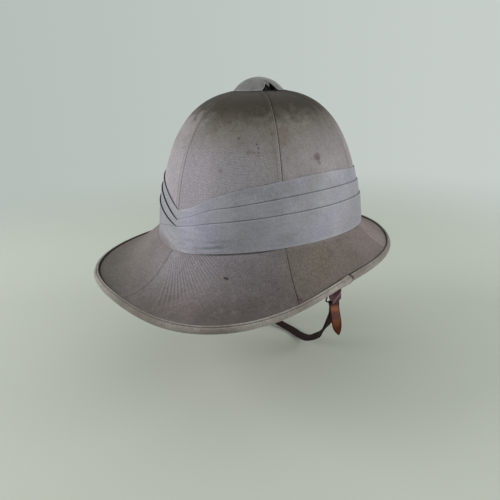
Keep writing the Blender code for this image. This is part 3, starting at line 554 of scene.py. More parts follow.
STAINS = {                      # colour, and the place on the helmet, size across and strength of each
    "purple": ((0.105, 0.070, 0.082), (
        ((-0.1399, 0.0700, -0.0284), 0.0034, 0.85), ((-0.1368, 0.0695, -0.0264), 0.0022, 0.70),
        ((-0.0943, 0.0052, 0.0886), 0.0052, 0.75), ((-0.0963, 0.0036, 0.0828), 0.0028, 0.55))),
    "brown": ((0.085, 0.062, 0.048), (
        ((-0.0676, 0.0588, 0.1042), 0.0012, 0.75), ((-0.0700, 0.0592, 0.1010), 0.0015, 0.60),
        ((-0.0711, 0.0601, 0.0968), 0.0014, 0.75), ((-0.0720, 0.0605, 0.0940), 0.0015, 0.60),
        ((-0.0686, 0.0630, 0.0975), 0.0015, 0.55), ((-0.0664, 0.0655, 0.0974), 0.0017, 0.60),
        ((-0.0642, 0.0681, 0.0972), 0.0015, 0.50), ((-0.0649, 0.0666, 0.0978), 0.0036, 0.22),
        ((-0.0533, 0.0691, 0.1096), 0.0017, 0.65), ((-0.0516, 0.0644, 0.1164), 0.0024, 0.45),
        ((-0.0444, 0.0705, 0.1160), 0.0020, 0.35), ((-0.0323, 0.0751, 0.1193), 0.0020, 0.40),
        ((-0.0304, 0.0788, 0.1157), 0.0022, 0.40), ((-0.0313, 0.0934, 0.0906), 0.0014, 0.35),
        ((-0.1400, 0.0711, -0.0283), 0.0034, 0.60), ((-0.1130, 0.0120, 0.0060), 0.0016, 0.70))),
    "rust": ((0.120, 0.072, 0.045), (
        ((-0.0748, 0.0322, 0.1147), 0.0085, 0.34), ((-0.0800, 0.0344, 0.1059), 0.0075, 0.30),
        ((-0.0715, 0.0427, 0.1126), 0.0032, 0.60), ((-0.0889, 0.0292, 0.0980), 0.0060, 0.16),
        ((-0.0489, 0.0892, 0.0807), 0.0026, 0.35), ((-0.0570, 0.0700, 0.1060), 0.0060, 0.12))),
    "halo": ((0.190, 0.140, 0.128), (
        ((-0.0765, 0.1125, -0.0135), 0.0042, 0.45), ((-0.0830, 0.1120, -0.0165), 0.0040, 0.30))),
    "dark": ((0.018, 0.011, 0.009), (
        ((-0.0794, 0.1112, -0.0142), 0.0020, 0.95), ((-0.0818, 0.1100, -0.0146), 0.0017, 0.90),
        ((-0.0806, 0.1085, -0.0135), 0.0010, 0.45))),
    "grime": ((0.050, 0.047, 0.046), (
        ((-0.0440, 0.1180, 0.0000), 0.0060, 0.45), ((-0.0500, 0.1190, -0.0040), 0.0050, 0.40))),
}
BRIM_FAN, FAN_START = (0.0119, 0.1085), math.radians(131)      # the drill's ribs fan out near the back
CROWN_ARCS = (-0.0420, 0.0480, 0.1420)             # and curve round this point on the crown


def weave(finish, thread):
    """Over-and-under of the threads as a height, and the unevenness of single threads."""
    across, along = finish.across, finish.along
    over = (across * (FULL_TURN / thread)).sine() * (along * (FULL_TURN / thread)).sine() * 0.5 + 0.5
    slubs_down = finish.clouds(0.5 / thread, 1.0, where=finish.at(across, along * 0.05))
    slubs_across = finish.clouds(0.5 / thread, 1.0, where=finish.at(across * 0.05, along, 3.0))
    return over, slubs_down * 0.5 + slubs_across * 0.5


def cloth_tone(finish, over, slubs, strength):
    """Brightness of the cloth: threads, thicker yarns of 1 to 3 mm both ways, and grubby grain."""
    across, along = finish.across, finish.along
    yarns_down = finish.clouds(700.0, 1.0, where=finish.at(across, along * 0.3, 1.0))
    yarns_across = finish.clouds(700.0, 1.0, where=finish.at(across * 0.3, along, 2.0))
    grain = finish.clouds(620.0, 3.0, 0.8)
    tone = (yarns_down + yarns_across - 1.0) * 0.28 + (grain - 0.5) * 0.95
    return (tone + (over - 0.5) * 0.12 + (slubs - 0.5) * 0.16) * strength + 1.0


def stains(finish, *groups):
    """Layers of soaked-in spots with uneven edges."""
    uneven = finish.clouds(420.0, 3.0, 0.65) - 0.5
    for group in groups:
        colour, spots = STAINS[group]
        yield colour, reduce(Value.most, [
            (finish.distance(centre) + uneven * (size * 1.6)).fades(size * 0.25, size * 1.15, strength)
            for centre, size, strength in spots])


def brim_khaki(finish, smudges):
    """The cover's colour on the brim: brown, smudged, and greenish in two places."""
    level = finish.at(finish.place.part("X"), finish.place.part("Y"), 5.0)
    return finish.laid(
        (0.105, 0.086, 0.079),
        ((0.173, 0.143, 0.141), finish.clouds(11.0, 4.0, 0.6, level).rises(0.34, 0.64)),
        ((0.104, 0.092, 0.066), finish.clouds(34.0, 3.0, 0.55).rises(0.52, 0.66, 0.25)),        # olive
        ((0.074, 0.058, 0.046), smudges.rises(0.54, 0.72, 0.55)),
        ((0.205, 0.178, 0.165), smudges.fades(0.30, 0.44, 0.40)),
        ((0.140, 0.133, 0.108), finish.near((0.0650, 0.1450, -0.0320), 0.025, 0.075, 0.40)),
        ((0.142, 0.128, 0.088), finish.near((-0.1240, 0.0360, -0.0120), 0.010, 0.050, 0.40)))


def drill_ribs(finish, patches, fine, brim):
    """Brightness of the ribs: rows on the crown, arcs at its back, and a fan on the back brim."""
    on_crown = 1.0 - brim
    rows = (finish.along * (FULL_TURN / 0.0021) + fine * 5.0).sine() * patches.rises(0.44, 0.60) * on_crown
    x, y = finish.place.part("X") - BRIM_FAN[0], finish.place.part("Y") - BRIM_FAN[1]
    ahead = x * math.cos(FAN_START) + y * math.sin(FAN_START)
    aside = y * math.cos(FAN_START) - x * math.sin(FAN_START)
    reach, swing = (ahead * ahead + aside * aside) ** 0.5, aside.math("ARCTAN2", ahead)
    shown = reach.rises(0.016, 0.028) * reach.fades(0.064, 0.092) * brim
    shown = shown * swing.rises(-0.08, 0.05) * swing.fades(0.80, 1.0)
    fan = (swing * 72.0 + swing * swing * 78.0 + fine * 2.0).sine() * shown
    arcs = (finish.distance(CROWN_ARCS) * (FULL_TURN / 0.0027) + fine * 2.0).sine() * finish.mark("near_back")
    return rows * 0.035 + fan * 0.20 + arcs * on_crown * finish.height.fades(0.095, 0.115, 0.060)


def cover_cloth():
    """Faded grey-khaki drill: soiled under the ventilator, dusty at the scarf, browner on the brim; with
    painted light and shade round it, painted shadow under the cap, along the seams, under the scarf and
    inside the binding, and painted highlights on the laps.
    """
    finish = Finish("faded_khaki_drill", Sheen_Weight=0.10, Sheen_Roughness=0.6,
                    Sheen_Tint=(0.75, 0.74, 0.76), Specular_IOR_Level=0.08)
    height, mark, near, clouds = finish.height, finish.mark, finish.near, finish.clouds
    over, slubs = weave(finish, 0.00062)
    patches, fine = clouds(16.0, 4.0, 0.6), clouds(110.0, 3.0, 0.6)
    smudges, blotches = clouds(52.0, 5.0, 0.68), clouds(75.0, 5.0, 0.70)
    brim = height.fades(0.004, 0.014)
    soil = finish.laid(
        (0.066, 0.055, 0.038),
        ((0.112, 0.094, 0.074), (blotches * 0.5 + fine * 0.5).rises(0.38, 0.60)),
        ((0.088, 0.080, 0.046), clouds(40.0).rises(0.50, 0.64, 0.6)),
        ((0.098, 0.096, 0.064), near((-0.0690, 0.0220, 0.1240), 0.010, 0.036, 0.5)))
    soiled_to = height + (patches - 0.5) * 0.055 + (fine - 0.5) * 0.034 + (blotches - 0.5) * 0.026
    soiled_to = soiled_to - near((0.0170, 0.0700, 0.1300), 0.008, 0.042, 0.024)
    grime_and_shadow_to = height + (fine - 0.5) * 0.022 + (blotches - 0.5) * 0.012
    pink, gap = mark("gore_pink") * 0.35, mark("scarf_gap")
    lap, own_lap = mark("from_lap"), mark("from_own_lap")
    broken = 1.0 - brim * clouds(240.0).rises(0.42, 0.60, 0.6)
    far_line = own_lap.rises(0.0033, 0.0038) * own_lap.fades(0.0041, 0.0047)
    # a painted highlight along each raised lapped edge, with some wear
    rub_and_highlight = own_lap.fades(0.0004, 0.0030, 0.25) * height.rises(-0.02, 0.08, 1.0, 0.25)
    colour = finish.laid(
        (0.236, 0.211, 0.210),
        ((0.306, 0.277, 0.286), patches.rises(0.36, 0.66)),
        (brim_khaki(finish, smudges), brim),
        ((0.150, 0.132, 0.108), smudges.rises(0.56, 0.70, 0.30) * height.rises(0.060, 0.100)),
        ((0.150, 0.134, 0.122), near((-0.0830, 0.0640, 0.0850), 0.020, 0.075, 0.42)),           # painted shade on the middle of the crown
        (soil, soiled_to.rises(0.080, 0.142, 0.94)),
        # nearly black just under the cap: grime, and painted shadow of the cap
        ((0.024, 0.019, 0.012), grime_and_shadow_to.rises(0.1160, 0.1400, 0.90)),
        ((0.262, 0.246, 0.292), mark("near_back") * (1.0 - brim) * height.fades(0.085, 0.115, 0.45)),
        ((0.300, 0.286, 0.316), near((-0.0090, 0.1215, -0.0050), 0.003, 0.010, 0.50) * brim),   # smear
        ((0.208, 0.190, 0.214), gap.fades(0.002, 0.055, 0.66) * mark("near_back") * brim),      # mauve dust
        ((0.215, 0.165, 0.150), pink.most(0.0) * brim),
        ((0.105, 0.082, 0.058), (-pink).most(0.0) * brim * 2.0),
        *stains(finish, "purple", "brown", "rust", "halo", "dark", "grime"),
        # painted shadow along each seam, under the lapped edge
        ((0.030, 0.023, 0.020), lap.fades(0.0002, 0.0010, 0.88) * mark("seam_line") * broken),
        ((0.060, 0.048, 0.044), far_line * mark("far_line") * broken),
        # painted highlight, with some wear, on the raised laps
        ((0.340, 0.310, 0.290), rub_and_highlight * height.fades(0.095, 0.125, 1.0, 0.55)),
        # painted shadow line under the scarf's foot
        ((0.028, 0.025, 0.024), gap.fades(0.0001, 0.0008, 0.80) * mark("foot_line")),
        # painted shade, with dirt, in the gap inside the binding
        ((0.012, 0.010, 0.009), mark("binding_gap").fades(0.0003, 0.0016, 0.95)))
    tone = cloth_tone(finish, over, slubs, brim * 0.35 + 1.0) + drill_ribs(finish, patches, fine, brim)
    # the tone mark carries painted light and shade, with each gore's own fade
    colour = finish.toned(colour, tone * mark("tone") * 1.07)
    return finish.done(colour, 0.95, over * 0.6 + slubs * 0.8 + fine * 1.2)


def scarf_cloth():
    """Pale bluish-grey muslin, dusty along the folds; with painted light and shade round it, painted shadow
    in the creases and of drag wrinkles, and painted highlights below the folded edges.
    """
    finish = Finish("pale_grey_muslin", Sheen_Weight=0.25, Sheen_Roughness=0.6,
                    Sheen_Tint=(0.78, 0.80, 0.85), Specular_IOR_Level=0.15)
    across, along, mark, near, clouds = finish.across, finish.along, finish.mark, finish.near, finish.clouds
    over, slubs = weave(finish, 0.00050)
    patches = clouds(13.0, 4.0, 0.6)
    drawn = clouds(160.0, 3.0, 0.55, finish.at(across * 0.12, along))
    low, over_crease = mark("above_foot"), mark("over_crease")
    shaded = low.fades(0.009, 0.018) * drawn.rises(0.42, 0.62) * near((-0.0440, 0.1120, 0.0100), 0.012, 0.040)
    dust = finish.mix((0.150, 0.128, 0.116), (0.205, 0.172, 0.160), patches.rises(0.34, 0.64))
    settled = mark("dusty") + (clouds(260.0, 3.0, 0.6) - 0.5) * 0.006
    crease_shadow = over_crease.rises(-0.0006, 0.0) * over_crease.fades(0.0, 0.0007)
    off_back = finish.distance((-0.0150, 0.1200, 0.0200)).rises(0.030, 0.060)
    colour = finish.laid(
        (0.248, 0.239, 0.256),
        ((0.312, 0.304, 0.338), patches.rises(0.34, 0.66)),
        ((0.150, 0.147, 0.150), drawn.rises(0.52, 0.80) * 0.30),
        ((0.262, 0.248, 0.318), clouds(19.0).rises(0.44, 0.62, 0.5)),                           # lilac
        ((0.262, 0.262, 0.346), near((-0.0350, 0.1180, 0.0200), 0.010, 0.040, 0.5)),            # bluish
        ((0.196, 0.190, 0.184), clouds(38.0, 3.0, 0.6).rises(0.48, 0.68, 0.40) * off_back),     # drab
        ((0.085, 0.085, 0.090), shaded * 0.65),
        ((0.330, 0.325, 0.345), low.fades(0.0, 0.005, 0.35)),
        (dust, settled.rises(-0.0060, 0.0020, 0.80)),
        *stains(finish, "grime"),
        # painted shadow line of the crease beside the V
        ((0.060, 0.060, 0.066), crease_shadow * mark("crease_dark")),
        # painted highlight just below each folded edge
        ((0.360, 0.360, 0.380), mark("below_edge").fades(0.0004, 0.0028, 0.16)),
        # painted shadow, with dirt, in the crease under each turn
        ((0.022, 0.021, 0.022), mark("above_next").fades(0.0003, 0.0011, 0.92) * mark("crease_line")))
    # painted light and shade of slanted drag wrinkles near the back, which the cloth's shape doesn't have
    slanted = clouds(170.0, 3.0, 0.5, finish.at(across * 0.14, along - across * 0.28))
    wrinkle_shading = (slanted - 0.5) * near((-0.0100, 0.1180, 0.0120), 0.024, 0.050) * 0.55
    # the tone mark paints light and shade round the scarf
    tone = (cloth_tone(finish, over, slubs, 0.85) + wrinkle_shading) * mark("tone")
    return finish.done(finish.toned(colour, tone), 0.93, over * 0.5 + slubs * 0.7 + drawn * 1.6)


def edge_cloth():
    """Khaki tape rolled over the brim's edge, paler where it rubs, with painted shade on the bead's inner
    side and in the groove behind it.
    """
    finish = Finish("rolled_khaki_tape", Sheen_Weight=0.2, Sheen_Roughness=0.6, Specular_IOR_Level=0.15)
    over, slubs = weave(finish, 0.00055)
    colour = finish.laid(
        (0.165, 0.140, 0.120),
        ((0.255, 0.226, 0.206), finish.clouds(22.0, 4.0, 0.6).rises(0.34, 0.66)),
        ((0.075, 0.062, 0.040), finish.near((-0.0300, 0.1950, -0.0420), 0.020, 0.060, 0.55)),
        # painted shade, with dirt, on the bead's inner side and in the groove behind it
        ((0.012, 0.010, 0.009), finish.mark("lip").rises(0.3, 1.0, 0.97)),
        ((0.050, 0.041, 0.036), finish.mark("groove").rises(0.2, 1.0, 0.80)),
        ((0.012, 0.007, 0.008), (finish.mark("join") * 2.0).least(0.97)))
    colour = finish.toned(colour, cloth_tone(finish, over, slubs, 1.3) * finish.mark("tone"))
    return finish.done(colour, 0.92, over * 0.6 + slubs * 0.8)


def cap_cloth():
    """The same cloth drawn tight over the ventilator, with soft puckers, and painted shade on its inner face.
    """
    finish = Finish("drawn_khaki_cloth", Sheen_Weight=0.25, Sheen_Roughness=0.6,
                    Sheen_Tint=(0.80, 0.80, 0.80), Specular_IOR_Level=0.15)
    over, slubs = weave(finish, 0.00060)
    colour = finish.laid(
        (0.104, 0.099, 0.095),
        ((0.164, 0.158, 0.152), finish.clouds(45.0, 4.0, 0.6).rises(0.34, 0.66)),
        ((0.225, 0.232, 0.205), finish.near((-0.0060, -0.0240, 0.1600), 0.012, 0.030, 0.75)),
        ((0.250, 0.238, 0.228), finish.mark("rim_gap").fades(0.0002, 0.0018, 0.5)),
        # painted shade on the cloth's inner face, under the cap
        ((0.010, 0.008, 0.008), finish.mark("inside") * 0.9))
    colour = finish.toned(colour, cloth_tone(finish, over, slubs, 0.9))
    return finish.done(colour, 0.93, over * 0.6 + slubs * 0.8)


def lining_cloth():
    """Plain cotton glued inside the moulded wall."""
    finish = Finish("glued_cotton_lining", Sheen_Weight=0.15, Specular_IOR_Level=0.15)
    over, slubs = weave(finish, 0.00070)
    patches = finish.clouds(14.0, 4.0, 0.6).rises(0.34, 0.66)
    colour = finish.mix((0.170, 0.155, 0.115), (0.235, 0.215, 0.165), patches)
    colour = finish.mix(colour, (0.5, 0.5, 0.5), (slubs - 0.5) * 0.8 + 0.10, "OVERLAY")
    colour = finish.mix((0.0, 0.0, 0.0), colour, over * 0.16 + slubs * 0.16 + 0.80)
    return finish.done(colour, 0.95, over * 0.6 + slubs * 0.9, 0.00018)


def thread_finish():
    finish = Finish("waxed_cotton_thread", Specular_IOR_Level=0.2)
    twist = (finish.height * 9000.0 + finish.place.part("X") * 5000.0).sine() * 0.5 + 0.5
    colour = finish.laid(
        (0.200, 0.175, 0.150),
        ((0.300, 0.270, 0.240), finish.clouds(60.0)),
        ((0.060, 0.044, 0.036), finish.height.fades(0.004, 0.020)),         # on the brim
        ((0.046, 0.038, 0.028), finish.height.rises(0.095, 0.125)))         # in the soil
    return finish.done(colour, 0.85, twist, 0.00008, 0.7)


def strap_leather():
    """Old strap leather: purple-brown where it is polished, tan where the grain has worn off; painted shade
    on the chin strap's inner face and below the buckle, and a painted highlight along a rubbed fold.
    """
    finish = Finish("worn_strap_leather", Specular_IOR_Level=0.10)
    patches = finish.clouds(70.0, 4.0, 0.65).rises(0.35, 0.65)
    scuffs = finish.clouds(420.0, 3.0, 0.6, finish.at(finish.across * 3.0, finish.along * 0.5))
    mottle = finish.clouds(500.0, 2.0, 0.6)
    tanned = finish.laid(
        (0.130, 0.040, 0.019),
        ((0.225, 0.076, 0.034), patches),
        ((0.350, 0.135, 0.090), finish.height.rises(-0.104, -0.092, 0.85)),
        ((0.084, 0.019, 0.010), finish.height.fades(-0.122, -0.110, 0.85)))
    rub_shine_start, rub_shine_along = (-0.0893, -0.0381, -0.0784), (-0.286, -0.504, 0.815)     # a rubbed fold with a painted highlight along it
    from_rub_shine = finish.place.vector("SUBTRACT", rub_shine_start).vector("CROSS_PRODUCT", rub_shine_along)
    from_rub_shine = from_rub_shine.vector("LENGTH", output="Value")
    # painted shade on the chin strap's inner face and along its stretch below the buckle
    strap_shade = (finish.mark("dark") * 0.94).most(finish.mark("shade") * 0.85)
    colour = finish.laid(
        (0.058, 0.027, 0.036),
        ((0.120, 0.060, 0.074), patches),
        (tanned, finish.mark("tan")),
        ((0.140, 0.062, 0.075), finish.near((-0.0872, -0.0358, -0.1035), 0.0030, 0.0085, 0.75)),
        # painted highlight along a rubbed fold
        ((0.290, 0.180, 0.210), from_rub_shine.fades(0.0004, 0.0019, 0.85)),
        ((0.013, 0.006, 0.005), strap_shade),
        ((0.022, 0.010, 0.007), finish.mark("edge").rises(0.74, 0.96, 0.85)),
        ((0.30, 0.18, 0.12), scuffs.rises(0.68, 0.82, 0.30) * (1.0 - strap_shade)))
    return finish.done(finish.toned(colour, (mottle - 0.5) * 1.1 + 1.0), scuffs * 0.25 + 0.48,
                       finish.pits(1500.0, 0.6) * -0.6 + scuffs * 0.5, 0.00018, 0.7)


def band_leather():
    finish = Finish("sweatband_leather", Specular_IOR_Level=0.4)
    patches = finish.clouds(30.0, 4.0, 0.6)
    colour = finish.mix((0.120, 0.052, 0.026), (0.215, 0.108, 0.058), patches.rises(0.3, 0.7))
    return finish.done(colour, patches * 0.2 + 0.42, finish.pits(900.0, 0.7) * -0.6, 0.0002, 0.6)


def dark_metal():
    """Blackened sheet metal, dull and a little rubbed."""
    finish = Finish("blackened_sheet", Specular_IOR_Level=0.3)
    patches = finish.clouds(220.0, 3.0, 0.6)
    colour = finish.mix((0.006, 0.006, 0.006), (0.022, 0.020, 0.018), patches)
    return finish.done(colour, patches * 0.2 + 0.6, patches, 0.0001, 0.5)


def buckle_metal():
    """Darkened steel wire, bright where it rubs."""
    finish = Finish("darkened_steel_wire", Metallic=1.0)
    patches = finish.clouds(380.0, 4.0, 0.65)
    rub_and_highlight = patches.rises(0.62, 0.74)
    colour = finish.mix((0.012, 0.011, 0.011), (0.30, 0.30, 0.29), rub_and_highlight)
    return finish.done(colour, 0.5 - rub_and_highlight * 0.25, patches, 0.00008, 0.5)


# --- cloth gores ----------------------------------------------------------------------------------

def scarf_top(edge, azimuth):
    """Height of a free edge of the scarf."""
    return round_brim("foot_height", azimuth) - SCARF_FOOT_DROP + eased(SCARF_EDGES, edge, in_tables(azimuth))


def scarf_foot_radius(azimuth):
    """Radius at which the scarf's lowest turn ends on the brim."""
    turns = FOLD_FIRST_OFFSET + 2 * FOLD_SPACING + FOLD_THICKNESS
    return crown_foot_radius(azimuth) + turns + eased(SCARF_SPREAD, "width", in_tables(azimuth))


def seam_at(number, way):
    return SEAMS_ON_CROWN[number] + (SEAMS_ON_BRIM[number] - SEAMS_ON_CROWN[number]) * to_brim(way)


def show_from(way, azimuth, point):
    """1 where the cover shows, 0 under the scarf, and how far the scarf's edge is."""
    on_crown = point[..., 2] - scarf_top("fold_upper", azimuth)
    on_brim = level_radius(point) - scarf_foot_radius(azimuth)
    gap = np.where(way < 1.0, on_crown, on_brim)
    return smooth_step(gap, -0.0005, 0.0030), np.maximum(gap, 0.0)


def lap_rise(seam, way, radius, shown):
    """Height of a seam's lapped edge: low on the brim, none under the cap and the scarf."""
    height = SEAM_RELIEF[seam % 6] * LAP_HEIGHT * np.where(way < 1, 1.0, BRIM_LAP)
    return height * shown * smooth_step(radius, 0.020, 0.034)


def brim_creases(point):
    """A few shallow creases pressed into the left of the back brim."""
    height = np.zeros(point.shape[:-1])
    for start, end, depth in BRIM_CREASES:
        a, b = np.array(start), np.array(end)
        t = np.clip(((point - a) @ (b - a)) / ((b - a) @ (b - a)), 0, 1)
        away = np.linalg.norm(point - (a + t[..., None] * (b - a)), axis=-1)
        height += depth * np.exp(-(away / 0.0035) ** 2) * np.sin(np.pi * np.clip(t, 0.05, 0.95))
    return height


def gore_columns(start, end, radius):
    """Places across a gore, close together along its seams, from its near seam; and its width."""
    width = np.radians(end - start) * radius
    near = SEAM_HALF_GAP + SEAM_COLUMNS[None, :] * np.minimum(1.0, width / (3.0 * SEAM_COLUMNS[-1]))
    middle = near[:, -1:] + (width - 2 * near[:, -1:]) * np.linspace(0, 1, 22)[None, 1:-1]
    return np.concatenate([near, middle, width - near[:, ::-1]], axis=1), width


def build_gore(number, finish):
    """One gore: its far edge is turned in and lapped over the next gore, its near edge goes under."""
    ways = ways_down(*GORE_ROWS)
    start, end = seam_at(number, ways), seam_at(number + 1, ways)
    radius = level_radius(cover_point((start + end) / 2, ways))
    from_start, width = gore_columns(start, end, radius)
    from_end = width - from_start
    azimuth = start + (end - start) * from_start / width
    way = np.broadcast_to(ways, azimuth.shape)
    point, normal = cover_point(azimuth, way), cover_normal(azimuth, way)
    shown, scarf_gap = show_from(way, azimuth, point)
    lap = smooth_step(from_end, LAP_WIDTH + 0.0012, LAP_WIDTH)
    lap = lap * (0.45 + 0.55 * smooth_step(from_end, 0.0, 0.0007))
    dip = SEAM_DIP * SEAM_RELIEF[number] * smooth_step(from_start, 0.0013, 0.0002)
    slack = lumps(point, 16.0, number * 3.7) * 0.00030 + lumps(point, 55.0, number * 1.3) * 0.00008
    slack = slack * smooth_step(np.minimum(from_start, from_end), 0.0, 0.012)
    rise = lap * lap_rise(number + 1, way, radius, shown) + (slack - dip + brim_creases(point)) * shown
    outer = point + normal * (rise * (way < 2))[..., None]
    reach = lengths(point[:, point.shape[1] // 2])
    flat = np.stack([from_start - width / 2, np.broadcast_to(reach[:, None], from_start.shape)], -1)
    brim_length = np.linalg.norm(cover_point(azimuth, 2.0) - cover_point(azimuth, 1.0), axis=-1)
    inner_shading, outer_shading, mauve = (ring_table(BRIM_TONES, name, azimuth) for name in list(BRIM_TONES)[1:])
    brim_shading = inner_shading + (outer_shading - inner_shading) * smooth_step(way, 1.2, 1.9)
    crown_shading = ring_table(CROWN_SHADING, "tone", azimuth)
    tone, pinkness = GORE_TONES[number]
    # marks: painted shadow lines along the seams, under the scarf's foot and inside the binding, a painted
    # highlight on the laps, and painted light and shade in tone
    marks = {
        "from_lap": from_start, "from_own_lap": from_end, "scarf_gap": scarf_gap, "near_back": mauve,
        "far_line": 0.45 * smooth_step(point[..., 2], 0.110, 0.085) * smooth_step(point[..., 2], 0.02, 0.03),
        "binding_gap": (2.0 - way) * brim_length / ring_table(EDGE_SHADE, "width", azimuth),
        "foot_line": ring_table(FOOT_LINE, "strength", azimuth),
        "seam_line": SEAM_LINES[number] * np.where(way < 0.6, 0.75, 1.0), "gore_pink": pinkness,
        "tone": tone * (crown_shading + smooth_step(way, 1.0, 1.15) * (brim_shading - crown_shading)),
    }
    name = "cloth_gore_%d" % (number + 1)
    mesh = sheet_mesh(name, outer, point - normal * COVER_THICKNESS, flat, marks)
    piece = show(name, mesh, finish, "cover_cloth", "cover_panel_%d" % (number + 1))


# --- moulded wall, binding ------------------------------------------------------------------------

def build_wall(finish):
    """The moulded wall with its lining, from the vent hole to inside the binding."""
    ways = ways_down(*WALL_ROWS)
    azimuth = np.arange(0.0, 360.0, 2.0)[None, :] + FIRST_AZIMUTH * (1 - to_brim(ways))
    point, normal = cover_point(azimuth, ways), cover_normal(azimuth, ways)
    under = COVER_THICKNESS + GAP
    inner = point - normal * (under + SHELL_THICKNESS - EDGE_TAPER * smooth_step(ways, 1.6, 2.0))[..., None]
    girth = np.linspace(0, FULL_TURN, azimuth.shape[1] + 1) * 0.11
    mesh = ring_mesh("moulded_wall", np.concatenate([point - normal * under, inner[::-1]]),
                     laid_out(girth, there_and_back(lengths(point[:, 0]))))
    show("moulded_wall", mesh, finish, "shell_lining", "crown_wall_back", "crown_wall_right",
         "crown_wall_front", "crown_wall_left", "brim_wall")


def binding_outline():
    """Section of the roll, from the tape's edge on the brim round to its hidden edge inside: places
    outward and up, and the strength of the painted shade on the lip and in the groove. With it the roll's
    centre and the rows that show."""
    top = GAP + BINDING_THICKNESS
    pocket = -(COVER_THICKNESS + GAP + SHELL_THICKNESS + GAP) + EDGE_TAPER
    bottom = pocket - BINDING_THICKNESS
    radius, centre = (top - bottom) / 2, (BINDING_LAP - BINDING_ROUND_INSET, (top + bottom) / 2)
    outline = [(0.0006, 0.0003, 1.0, 0.0), (0.0001, 0.0004, 1.0, 0.0)]
    shows_from = len(outline)

    def on_circle(middle, size, turn):
        swing = math.radians(turn)
        return middle[0] + size * math.cos(swing), middle[1] + size * math.sin(swing)

    for turn in range(180, -1, -30):
        lip, groove = {180: 0.9, 150: 0.35}.get(turn, 0.0), {30: 0.5, 0: 1.0}.get(turn, 0.0)
        outline.append((*on_circle(BEAD_PLACE, BEAD_RADIUS, turn), lip, groove))
    outline += [(0.00245, 0.0008, 0.0, 1.0), (0.0028, 0.0011, 0.0, 0.6)]
    outline += [(*on_circle(centre, radius, max(turn, -90)), 0.0, 0.0) for turn in range(66, -97, -9)]
    shows = slice(shows_from, len(outline))
    hem, past_wall = -BINDING_UNDERLAP, BINDING_LAP + GAP
    outline += [(0.0, bottom, 0.0, 0.0), (-0.0030, bottom, 0.0, 0.0), (-0.0058, bottom, 0.0, 0.0),
                (hem - 0.0002, bottom + 0.0003, 0.0, 0.0), (hem, pocket, 0.0, 0.0), (0.0, pocket, 0.5, 0.0),
                (past_wall, pocket, 1.0, 0.0), (past_wall, GAP, 1.0, 0.0)]
    return np.array(outline), centre, shows


def build_binding(finish):
    """A strip of tape rolled over the brim's edge, its end lapped over its start at the join."""
    near_join = np.concatenate([np.arange(-JOIN_REACH, -0.5, 0.5), np.arange(-0.5, 0.0, 0.125),
                                [0.0, 0.10, 0.25, 0.5], np.arange(1.0, JOIN_REACH, 0.5)])
    rest = JOIN_REACH + np.arange(0, 360.0 - 2 * JOIN_REACH, 1.5)
    azimuth = JOIN_AZIMUTH + np.concatenate([near_join, rest])[:, None]
    away = azimuth - JOIN_AZIMUTH
    outline, centre, shows = binding_outline()
    on_top, bow = np.zeros(len(outline)), np.zeros(len(outline))
    on_top[shows] = 1.0
    bow[shows.start + 2:shows.stop] = 1.5 * np.sin(np.linspace(0, math.pi, shows.stop - shows.start - 2))
    point, outward, up = edge_frame(azimuth + bow * np.exp(-(away / 3.0) ** 2))
    lapped = np.where((away <= 0) & (away > -JOIN_REACH), smooth_step(away, -6.0, -1.2), 0.0) * JOIN_LAP
    fuller = (lapped + lumps(point, 30.0, 9.0) * 0.00018) * on_top
    section = outline[:, :2] + unit(outline[:, :2] - np.array(centre)) * fuller[..., None]
    hangs = smooth_step(-outline[:, 1], -0.0005, 0.0035)
    hangs[-7:] = (0.8, 0.4, 0.0, 0.0, 0.0, 0.0, 0.0)        # less and less towards the hidden edge
    section[..., 1] -= ring_table(BINDING_SAG, "sag", azimuth) * hangs
    points = point + outward * section[..., :1] + up * section[..., 1:]
    along = lengths(point[:, 0])
    flat = laid_out(one_more(lengths(outline[:, :2]), 0.004), one_more(along, 0.004))
    # lip and groove carry painted shade, with dirt
    marks = {"lip": outline[:, 2] * ring_table(BINDING_GROOVE, "lip", azimuth),
             "groove": outline[:, 3] * ring_table(BINDING_GROOVE, "depth", azimuth),
             "join": ((away > JOIN_MARK[0]) & (away < JOIN_MARK[1])) * on_top,
             "tone": ring_table(BINDING_GROOVE, "tone", azimuth)}
    mesh = ring_mesh("rolled_binding", points, flat, marks)
    piece = show("rolled_binding", mesh, finish, "edge_cloth", "brim_binding")


def edge_frame(azimuth):
    """Point on the binding's inner line, with the directions outward along the brim and up off it."""
    point = cover_point(azimuth, 2.0)
    outward = unit(point - cover_point(azimuth, 1.98))
    return point, outward, unit(np.cross(outward, around(azimuth + 90, 1, 0)))


# --- scarf ----------------------------------------------------------------------------------------

def bent(start, bend, end, steps):
    """Steps along the curve from start to end that the bend draws towards itself."""
    t = np.linspace(0, 1, steps)[1:, None]
    return (1 - t)**2 * start + 2 * t * (1 - t) * bend + t**2 * end


